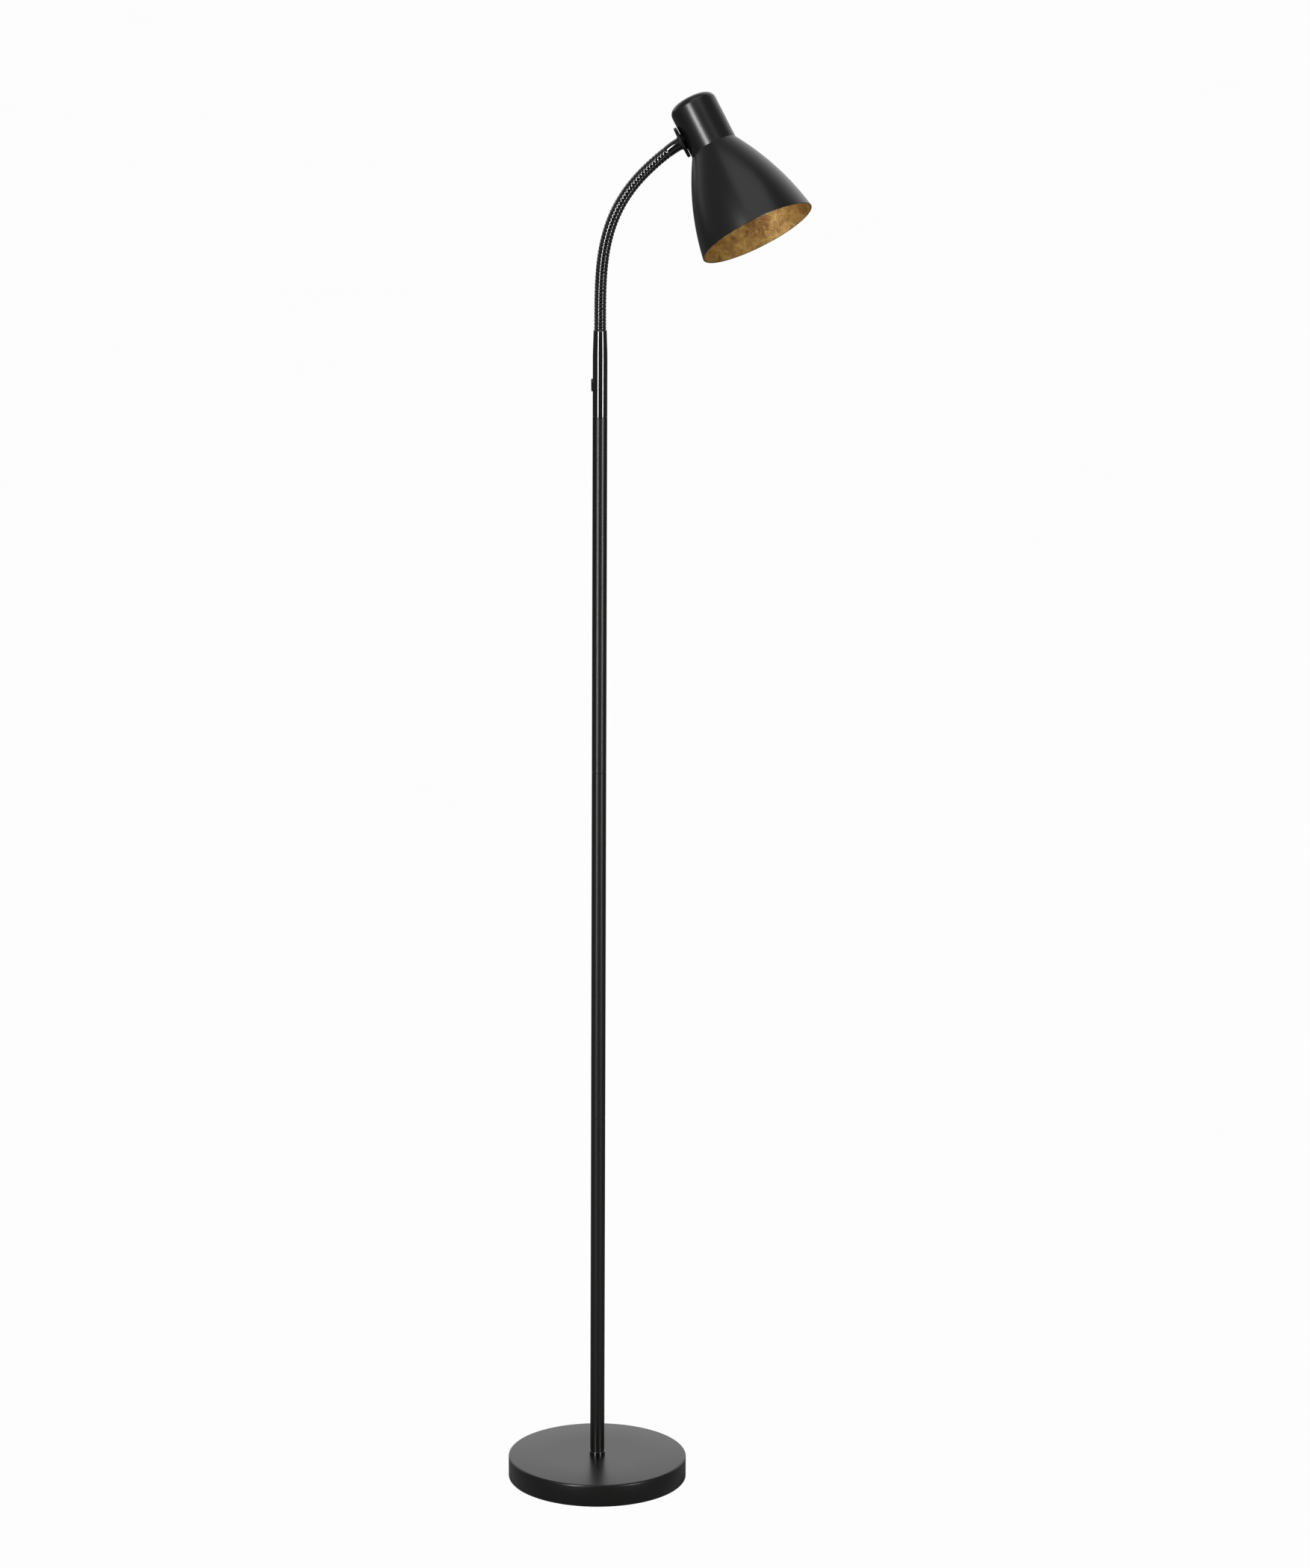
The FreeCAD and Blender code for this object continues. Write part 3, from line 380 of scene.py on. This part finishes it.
def foam_rubber():
    finish = Finish("foam_rubber")
    cells = finish.node("TexVoronoi", {}, {"Vector": finish.place(), "Scale": 900.0})
    skin = finish.ramp(cells, [(0.1, colour(26, 26, 27)), (0.6, colour(48, 48, 50))])
    return finish.surface(
        Base_Color=skin, Roughness=cells * 0.1 + 0.85,
        Normal=finish.bump(cells, distance=0.0003))


def zinc_plate():
    finish = Finish("zinc_plate")
    here = finish.place()
    bloom = finish.noise(here, scale=160.0, detail=3.0)
    turning = finish.noise(finish.place((1, 1, 30)), scale=120.0)
    skin = finish.ramp(bloom, [(0.3, colour(150, 154, 158)), (0.7, colour(186, 186, 180))])
    return finish.surface(
        Base_Color=skin, Metallic=1.0, Roughness=bloom * 0.2 + 0.22,
        Normal=finish.bump(turning, distance=0.00003))


zinc = zinc_plate()
dress(frame["nodes"]["base_weight"], rough_casting())
dress(frame["nodes"]["base_pad"], foam_rubber())
for fixing in ("base_nut", "base_tube"):
    dress(frame["nodes"][fixing], zinc)


# ---------------------------------------------------------------- cord inlet
# A bush moulded in black plastic with a faint grain. It snaps into a hole in the back of the
# base, where a mains lead would enter.

def moulded_plastic(name, base, roughness, grain, depth):
    finish = Finish(name)
    here = finish.place()
    spark = finish.noise(here, grain)
    flow = finish.noise(here, scale=60.0)
    dark = colour(*base)
    paler, lift = 1.4, 0.002
    pale = tuple(value * paler + lift for value in dark)
    tint = finish.blend(flow, (*dark, 1), (*pale, 1))
    return finish.surface(
        Base_Color=tint, Roughness=spark * 0.1 + roughness, IOR=1.48,
        Normal=finish.bump(spark, depth))


bush_plastic = moulded_plastic(
    "bush_plastic", (24, 24, 25), roughness=0.42, grain=1500.0, depth=0.00004)
dress(frame["nodes"]["cord_inlet"], bush_plastic)


# ---------------------------------------------------------------- foot collar
# A turned steel collar that centres the pole on the base. Its gloss lacquer draws one
# thin bright arc with two small lights in it.

COLLAR_EDGE = 0.0006
POLE_FIT = 0.00005
gloss_black = black_lacquer(
    "gloss_black_lacquer", (7, 7, 7), sheen=0.12, grain=420.0, depth=0.000001, body=1.7, coat=0.6)
collar_low, collar_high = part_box("foot_collar")
collar_r = (collar_high[0] - collar_low[0]) / 2
pole_low, pole_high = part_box("pole_lower")
pole_r = (pole_high[0] - pole_low[0]) / 2
collar_points = [
    (HOLE_R, collar_low[2]),
    (collar_r, collar_low[2]),
    *rounding(collar_r - COLLAR_EDGE, collar_high[2] - COLLAR_EDGE, COLLAR_EDGE, 0, 90),
    (pole_r + POLE_FIT, collar_high[2]),
    (pole_r + POLE_FIT, pole_low[2]),
    (HOLE_R, pole_low[2]),
]
collar = turned("foot_collar_turned", collar_points)
dress(collar, gloss_black)
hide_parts("foot_collar")
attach(collar, "stand")


# ---------------------------------------------------------------- pole
# Three equal steel tubes with broken edges, screwed end to end, in the same satin lacquer
# as the base. The bushes and studs inside their ends are plated.

TUBE_WALL = 0.001
TUBE_EDGE = 0.0003
for section in ("pole_lower", "pole_middle", "pole_upper"):
    low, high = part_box(section)
    outer = (high[0] - low[0]) / 2
    tube_points = [
        (outer - TUBE_WALL, low[2]),
        (outer - TUBE_EDGE, low[2]),
        (outer, low[2] + TUBE_EDGE),
        (outer, high[2] - TUBE_EDGE),
        (outer - TUBE_EDGE, high[2]),
        (outer - TUBE_WALL, high[2]),
    ]
    tube = turned(section + "_tube", tube_points)
    dress(tube, satin_black)
    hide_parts(section)
    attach(tube, "stand")
for fixing in ("pole_bushes", "pole_studs"):
    dress(frame["nodes"][fixing], zinc)


# ---------------------------------------------------------------- switch tube
# A short tube drawn in at its top to meet the gooseneck, in gloss lacquer, with an oval
# opening in its left side that the switch snaps into.

SWITCH_UP = 0.035
TAPER = 0.028
TAPER_TOP_R = 0.00715
SHOULDER = 0.004
SHOULDER_START = 0.0012
SHOULDER_STOP = 0.0042
TOP_EDGE = 0.0008
TOP_WALL = 0.0018
OPENING_HALF = 0.0056
OPENING_END_R = 0.006
OPENING_STRETCH = 0.0011
OPENING_DEPTH = 0.012
OPENING_OUT = 0.0025
OPENING_SIDES = 64
OFF_MIDDLE = 1e-5
switch_low, switch_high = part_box("switch_tube")
switch_foot, switch_top = switch_low[2], switch_high[2]
slope = (pole_r - TAPER_TOP_R) / TAPER
taper_foot = switch_top - TAPER
switch_tube = turned("switch_tube_drawn", [
    (pole_r - TUBE_WALL, switch_foot),
    (pole_r - TUBE_EDGE, switch_foot),
    (pole_r, switch_foot + TUBE_EDGE),
    (pole_r, taper_foot - SHOULDER),
    (pole_r - slope * SHOULDER_START, taper_foot),
    (pole_r - slope * SHOULDER_STOP, taper_foot + SHOULDER),
    (TAPER_TOP_R + slope * TOP_EDGE, switch_top - TOP_EDGE),
    (TAPER_TOP_R - TOP_EDGE, switch_top),
    (TAPER_TOP_R - TOP_WALL, switch_top),
    (pole_r - TUBE_WALL, taper_foot),
])
deselect()
bpy.ops.mesh.primitive_cylinder_add(
    vertices=OPENING_SIDES, radius=OPENING_END_R, depth=OPENING_DEPTH,
    rotation=(0, math.pi / 2, 0),
    location=(-pole_r - OPENING_OUT, 0, switch_foot + SWITCH_UP))
bpy.ops.object.transform_apply(location=True, rotation=True, scale=True)
opening = bpy.context.object
for side in (-1, 1):
    for corner in opening.data.vertices:
        corner.select = (corner.co.z - switch_foot - SWITCH_UP) * side > OFF_MIDDLE
    bpy.ops.object.mode_set(mode="EDIT")
    bpy.ops.transform.translate(value=(0, 0, OPENING_STRETCH * side))
    bpy.ops.mesh.select_all(action="SELECT")
    bpy.ops.mesh.bisect(
        plane_co=(0, OPENING_HALF * side, 0), plane_no=(0, side, 0),
        use_fill=True, clear_outer=True)
    bpy.ops.mesh.select_all(action="DESELECT")
    bpy.ops.object.mode_set(mode="OBJECT")


def drill_out(piece, drill_piece):
    """Cut a drill's shape out of a piece."""
    deselect()
    piece.select_set(True)
    bpy.context.view_layer.objects.active = piece
    drill = piece.modifiers.new("drill", "BOOLEAN")
    drill.operation = "DIFFERENCE"
    drill.solver = "EXACT"
    drill.object = drill_piece
    bpy.ops.object.modifier_apply(modifier=drill.name)
    bpy.data.objects.remove(drill_piece)


drill_out(switch_tube, opening)
dress(switch_tube, gloss_black)
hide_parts("switch_tube")
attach(switch_tube, "stand")


# ---------------------------------------------------------------- rocker switch
# A snap-in switch moulded in black plastic: an oval bezel and a shallow V rocker, which tips
# on a plated pin over two brass blades.

switch_plastic = moulded_plastic(
    "switch_plastic", (14, 14, 14), roughness=0.22, grain=700.0, depth=0.00002)
for part in ("switch_housing", "switch_rocker"):
    dress(frame["nodes"][part], switch_plastic)


def turned_brass():
    finish = Finish("turned_brass")
    here = finish.place()
    tarnish = finish.noise(here, scale=120.0, detail=3.0)
    skin = finish.ramp(tarnish, [(0.3, colour(176, 140, 74)), (0.75, colour(206, 172, 98))])
    return finish.surface(
        Base_Color=skin, Metallic=1.0, Roughness=tarnish * 0.2 + 0.2,
        Normal=finish.bump(finish.noise(here, scale=1200.0), distance=0.00002))


brass = turned_brass()
dress(frame["nodes"]["switch_pin"], zinc)
dress(frame["nodes"]["switch_blades"], brass)


# ---------------------------------------------------------------- gooseneck
# A wound steel tube with round ribs every 4 mm, in gloss black. It is one even curve at rest;
# each length runs between two links' middles, with a ball inside it.

RIB_PITCH = 0.004
RIB_R = 0.0065
GROOVE_R = 0.00605
RIB_STEPS = 8
NECK_SIDES = 56
RIB_SMOOTH = 60
BENDS = 11
SPINE_STEPS = 48
END_REACH = 0.004
FOOT_GAP = 0.0001
LAST_REACH = 0.0033
BALL_REACH = 0.009
neck_foot = Vector(joints["neck_sweep"]["pos_m"])
balls = [Vector(joints[f"bend_{number:02d}"]["pos_m"]) for number in range(1, BENDS + 1)]
neck_end = Vector(joints["head_swivel"]["pos_m"])
end_way = Vector(joints["head_swivel"]["axis"]).normalized()

stations = [neck_foot, *balls]
ways = [Vector((0, 0, 1))]
for before, here, after in zip(stations, stations[1:], stations[2:]):
    ways.append(((here - before).normalized() + (after - here).normalized()).normalized())
last_link = (balls[-1] - balls[-2]).normalized()
ways.append((last_link + (neck_end - balls[-1]).normalized()).normalized())
stations.append(neck_end)
ways.append(end_way)
spine_data = bpy.data.curves.new("gooseneck_spine", "CURVE")
spine_data.dimensions = "3D"
spine_data.resolution_u = SPINE_STEPS
spine_line = spine_data.splines.new("BEZIER")
spine_line.bezier_points.add(len(stations) - 1)
for number, (station, way) in enumerate(zip(stations, ways)):
    knot = spine_line.bezier_points[number]
    reach_back = reach_on = END_REACH
    if number:
        reach_back = (station - stations[number - 1]).length / 3
    if number + 1 < len(stations):
        reach_on = (stations[number + 1] - station).length / 3
    knot.co = station
    knot.handle_left = station - way * reach_back
    knot.handle_right = station + way * reach_on
spine = bpy.data.objects.new("gooseneck_spine", spine_data)
bpy.context.collection.objects.link(spine)
spine_mesh = bpy.data.meshes.new_from_object(spine)
lengths = [0.0]
for first, second in zip(spine_mesh.vertices[:-1], spine_mesh.vertices[1:]):
    lengths.append(lengths[-1] + (second.co - first.co).length)
spine_points = [vertex.co.copy() for vertex in spine_mesh.vertices]


def along(distance):
    """The point on the spine at a distance from its foot."""
    for index in range(1, len(lengths)):
        if lengths[index] >= distance or index == len(lengths) - 1:
            part = (distance - lengths[index - 1]) / (lengths[index] - lengths[index - 1])
            return spine_points[index - 1].lerp(spine_points[index], part)


def bend_to_spine(piece):
    """Bend a straight piece on the Z axis along the spine."""
    deselect()
    piece.select_set(True)
    bpy.context.view_layer.objects.active = piece
    bend = piece.modifiers.new("spine", "CURVE")
    bend.object = spine
    bend.deform_axis = "POS_Z"
    bpy.ops.object.modifier_apply(modifier=bend.name)


def distance_of(station):
    """How far along the spine a station lies."""
    gaps = [(point - station).length for point in spine_points]
    return lengths[gaps.index(min(gaps))]


def ribs(low, high, first_crest):
    """Outline of round ribs between two distances from the foot."""
    points = []
    rows = max(2, round((high - low) / RIB_PITCH * RIB_STEPS))
    for row in range(rows + 1):
        distance = low + (high - low) * row / rows
        wave = math.cos((distance - first_crest) / RIB_PITCH * 2 * math.pi)
        swell = math.sqrt(max(0.0, (1 + wave) / 2))
        points.append((GROOVE_R + (RIB_R - GROOVE_R) * swell, distance))
    return points


ball_distances = [distance_of(ball) for ball in balls]
neck_bodies = ["neck_foot", *[f"link_{number:02d}" for number in range(1, BENDS)], "neck_end"]
neck_nodes = [f"gooseneck_link_{number:02d}" for number in range(1, BENDS)]
cuts = [FOOT_GAP]
for before, after in zip(ball_distances, ball_distances[1:]):
    cuts.append((before + after) / 2)
cuts.append(ball_distances[-1] + LAST_REACH)
for number in range(BENDS):
    low, high = cuts[number], cuts[number + 1]
    middle = ball_distances[number]
    length = turned(
        f"gooseneck_length_{number + 1:02d}", ribs(low, high, middle), NECK_SIDES,
        closed=False, smooth=RIB_SMOOTH)
    bend_to_spine(length)
    dress(length, gloss_black)
    if number == 0:
        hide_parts("gooseneck_foot", neck_nodes[0])
    elif number < BENDS - 1:
        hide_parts(neck_nodes[number])
    before_point = along(max(low, middle - BALL_REACH))
    after_point = along(min(high, middle + BALL_REACH))
    neck_bodies[number + 1]
    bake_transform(length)


# ---------------------------------------------------------------- gooseneck end
# A smooth turned sleeve that flares a little from the last rib and carries the head's
# stem through a black ring, the cover disc and two saddles to a thin plated nut.

SLEEVE_R = 0.0069
SLEEVE_STEP = 0.0003
SLEEVE_EDGE = 0.0004
FLARE_STEPS = 12
STEM_R = 0.005
WIRE_R = 0.0033
sleeve_low = ball_distances[-1] + LAST_REACH
sleeve_high = lengths[-1]
sleeve_points = [
    (WIRE_R, sleeve_low),
    (RIB_R - SLEEVE_STEP, sleeve_low),
    (RIB_R, sleeve_low + SLEEVE_EDGE),
]
for step in range(1, FLARE_STEPS + 1):
    part = step / FLARE_STEPS
    flare = (SLEEVE_R - RIB_R) * math.sin(part * math.pi / 2)
    rise_by = (sleeve_high - sleeve_low - SLEEVE_EDGE) * part
    sleeve_points.append((RIB_R + flare, sleeve_low + SLEEVE_EDGE + rise_by))
sleeve_points.append((WIRE_R, sleeve_high))
sleeve = turned("gooseneck_sleeve", sleeve_points, NECK_SIDES, smooth=40)
bend_to_spine(sleeve)
dress(sleeve, gloss_black)
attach(sleeve, "neck_end")

joint_matrix = Matrix((
    (end_way.z, 0, end_way.x, neck_end.x),
    (0, 1, 0, neck_end.y),
    (-end_way.x, 0, end_way.z, neck_end.z),
    (0, 0, 0, 1),
))


def settle(piece, matrix):
    """Carry a piece made about the world's origin to its place, with that place in its mesh."""
    deselect()
    piece.select_set(True)
    bpy.context.view_layer.objects.active = piece
    piece.matrix_world = matrix
    bpy.ops.object.transform_apply(location=True, rotation=True, scale=True)


STEM_LENGTH = 0.01435
STEM_EDGE = 0.0004
STEM_SIDES = 48
stem = turned("head_stem", [
    (WIRE_R, 0),
    (STEM_R, 0),
    (STEM_R, STEM_LENGTH - STEM_EDGE),
    (STEM_R - STEM_EDGE, STEM_LENGTH),
    (WIRE_R, STEM_LENGTH),
], STEM_SIDES)
settle(stem, joint_matrix)
dress(stem, zinc)
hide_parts("gooseneck_end")
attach(stem, "neck_end")
for fixing in ("joint_nut", "stem_nut"):
    dress(frame["nodes"][fixing], zinc)
soft_black = black_lacquer(
    "soft_black_lacquer", (8, 8, 8), sheen=0.5, grain=1300.0, depth=0.00001, body=1.35)
dress(frame["nodes"]["end_ring"], soft_black)

DISC_R = 0.0175
DISC_LOW = 0.0015
DISC_HIGH = 0.0031
DISC_LIP = 0.0016
DISC_FIT = 0.0001
DISC_EDGE = 0.0006
LIP_EDGE = 0.0004
LIP_WALL = 0.0012
LIP_FOOT = 0.0014
disc = turned("cover_disc_turned", [
    (STEM_R + DISC_FIT, DISC_LOW),
    *rounding(DISC_R - DISC_EDGE, DISC_LOW + DISC_EDGE, DISC_EDGE, -90, 0, steps=4),
    *rounding(DISC_R - LIP_EDGE, DISC_HIGH + DISC_LIP - LIP_EDGE, LIP_EDGE, 0, 90, steps=3),
    (DISC_R - LIP_WALL, DISC_HIGH + DISC_LIP),
    (DISC_R - LIP_FOOT, DISC_HIGH),
    (STEM_R + DISC_FIT, DISC_HIGH),
])
settle(disc, joint_matrix)
dress(disc, soft_black)
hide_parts("cover_disc")
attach(disc, "head")
dress(frame["nodes"]["outer_saddle"], soft_black)
dress(frame["nodes"]["inner_saddle"], zinc)


# ---------------------------------------------------------------- shade
# One spun steel bell, neck and crown. Satin black lacquer outside; inside, metal leaf in
# gold and brass tones with brown patches and small pale flecks.

SHADE_SIDES = 144
MOUTH_R = 0.065
NECK_R = 0.026
BELL = 0.106
HEAD = 0.16388
SHADE_WALL = 0.0012
CROWN = 0.009
CROWN_FLAT_R = 0.006
BELL_ARC = 0.3
BELL_STEPS = 22
OUTER_EDGE = 0.0004
INNER_EDGE = 0.0003
LIP_INSIDE = 0.0006
LIP_OUTSIDE = 0.0003
ABOVE_BELL = 0.02
BELOW_CROWN = 0.015
SOCKET_UP = 0.1195
socket_mount = next(
    mount for mount in frame["record"]["mounts"] if mount["name"] == "lamp_socket")
mouth_way = Vector(socket_mount["axis"]).normalized()
mouth = Vector(socket_mount["pos_m"]) + mouth_way * SOCKET_UP
head_z = -mouth_way
head_x = end_way
head_y = head_z.cross(head_x)
head_matrix = Matrix((
    (head_x.x, head_y.x, head_z.x, mouth.x),
    (head_x.y, head_y.y, head_z.y, mouth.y),
    (head_x.z, head_y.z, head_z.z, mouth.z),
    (0, 0, 0, 1),
))
chord = Vector((NECK_R - MOUTH_R, BELL))
rise_back = math.sqrt(BELL_ARC ** 2 - (chord.length / 2) ** 2)
arc_r = (MOUTH_R + NECK_R) / 2 - BELL / chord.length * rise_back
arc_z = BELL / 2 - (MOUTH_R - NECK_R) / chord.length * rise_back


def bell_points(radius, low, high):
    """Points of the bell's arc between two heights over the mouth."""
    points = []
    for step in range(BELL_STEPS + 1):
        height = low + (high - low) * step / BELL_STEPS
        points.append((arc_r + math.sqrt(radius ** 2 - (height - arc_z) ** 2), height))
    return points


inner_arc = BELL_ARC - SHADE_WALL
inner_r = NECK_R - SHADE_WALL
inner_top = arc_z + math.sqrt(inner_arc ** 2 - (inner_r - arc_r) ** 2)
outside = [
    *bell_points(BELL_ARC, OUTER_EDGE, BELL),
    (NECK_R, BELL + ABOVE_BELL),
    (NECK_R, HEAD - CROWN - BELOW_CROWN),
    *rounding(NECK_R - CROWN, HEAD - CROWN, CROWN, 0, 90, steps=10),
    (CROWN_FLAT_R, HEAD),
]
inside = [
    *bell_points(inner_arc, INNER_EDGE, inner_top),
    (inner_r, BELL + ABOVE_BELL),
    (inner_r, HEAD - CROWN - BELOW_CROWN),
    *rounding(NECK_R - CROWN, HEAD - CROWN, CROWN - SHADE_WALL, 0, 90, steps=8),
    (CROWN_FLAT_R, HEAD - SHADE_WALL),
]
lip = [(inside[0][0] + LIP_INSIDE, 0.0), (outside[0][0] - LIP_OUTSIDE, 0.0)]
ring_up([*inside[::-1], *lip, *outside], SHADE_SIDES)
bpy.ops.mesh.select_all(action="DESELECT")
bpy.ops.mesh.select_non_manifold()
bpy.ops.mesh.fill_holes(sides=0)
bpy.ops.mesh.select_all(action="SELECT")
bpy.ops.mesh.normals_make_consistent(inside=False)
bpy.ops.object.mode_set(mode="OBJECT")
shade = bpy.context.object
shade.name = shade.data.name = "shade_spun"
bpy.ops.object.shade_smooth_by_angle(angle=math.radians(30))

PORT_UP = 0.1272
PORT_FIT = 0.00012
PORT_DEPTH = 0.02
deselect()
bpy.ops.mesh.primitive_cylinder_add(
    vertices=STEM_SIDES, radius=STEM_R + PORT_FIT, depth=PORT_DEPTH,
    location=(-NECK_R, 0, PORT_UP), rotation=(0, math.pi / 2, 0))
drill_out(shade, bpy.context.object)


def leaf_lining():
    finish = Finish("gold_leaf_lining")
    here = finish.place()
    drift = finish.noise(here, scale=26.0, detail=3.0, roughness=0.6)
    mottle = finish.noise(here, scale=190.0, detail=6.0, roughness=0.75)
    specks = finish.noise(here, scale=620.0)
    gold = finish.ramp(mottle, [
        (0.36, colour(112, 76, 36)), (0.46, colour(164, 122, 62)),
        (0.55, colour(206, 164, 90)), (0.66, colour(240, 208, 134))])
    shift = finish.ramp(drift, [
        (0.36, colour(120, 92, 46)), (0.5, colour(214, 172, 96)), (0.64, colour(138, 88, 42))])
    tint = finish.blend(0.5, gold, shift)
    glint = finish.ramp(specks, [(0.66, (0, 0, 0)), (0.74, (1, 1, 1))])
    tint = finish.blend(glint * 0.5, tint, (*colour(236, 206, 140), 1))
    return finish.surface(
        Base_Color=tint, Metallic=mottle * 0.3 + 0.25, Roughness=mottle * 0.35 + 0.22,
        Normal=finish.bump(mottle + specks * 0.3, distance=0.0006))


shade_black = black_lacquer(
    "shade_lacquer", (12, 12, 12), sheen=0.29, grain=1200.0, depth=0.000015, body=1.55)
LINING_FROM = 0.0002
dress(shade, shade_black, leaf_lining())
for face in shade.data.polygons:
    radius = math.hypot(face.center.x, face.center.y)
    height = face.center.z
    outer_r = NECK_R
    if height < BELL:
        outer_r = arc_r + math.sqrt(BELL_ARC ** 2 - (height - arc_z) ** 2)
    on_inside = radius < outer_r - SHADE_WALL / 2 and LINING_FROM < height < HEAD - CROWN
    under_crown = height >= HEAD - CROWN and face.normal.z < 0
    looks_in = face.normal.x * face.center.x + face.normal.y * face.center.y < 0
    face.material_index = 1 if (on_inside and looks_in) or under_crown else 0
settle(shade, head_matrix)
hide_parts("shade")
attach(shade, "head")


# ---------------------------------------------------------------- lampholder
# A small screw lampholder hangs from a plated angle bracket. Its black skirt and cap are
# matt mouldings; the thread, the middle contact and the terminal screws are brass.

holder_plastic = moulded_plastic(
    "holder_plastic", (22, 22, 23), roughness=0.5, grain=1100.0, depth=0.00006)
white_plastic = moulded_plastic(
    "insulator_plastic", (196, 190, 176), roughness=0.45, grain=900.0, depth=0.00003)
for part in ("holder_cap", "holder_skirt"):
    dress(frame["nodes"][part], holder_plastic)
dress(frame["nodes"]["holder_insulator"], white_plastic)
for part in ("screw_shell", "centre_contact", "terminal_screws"):
    dress(frame["nodes"][part], brass)
for part in ("socket_bracket", "entry_tube", "entry_nut"):
    dress(frame["nodes"][part], zinc)

bpy.data.objects.remove(spine)
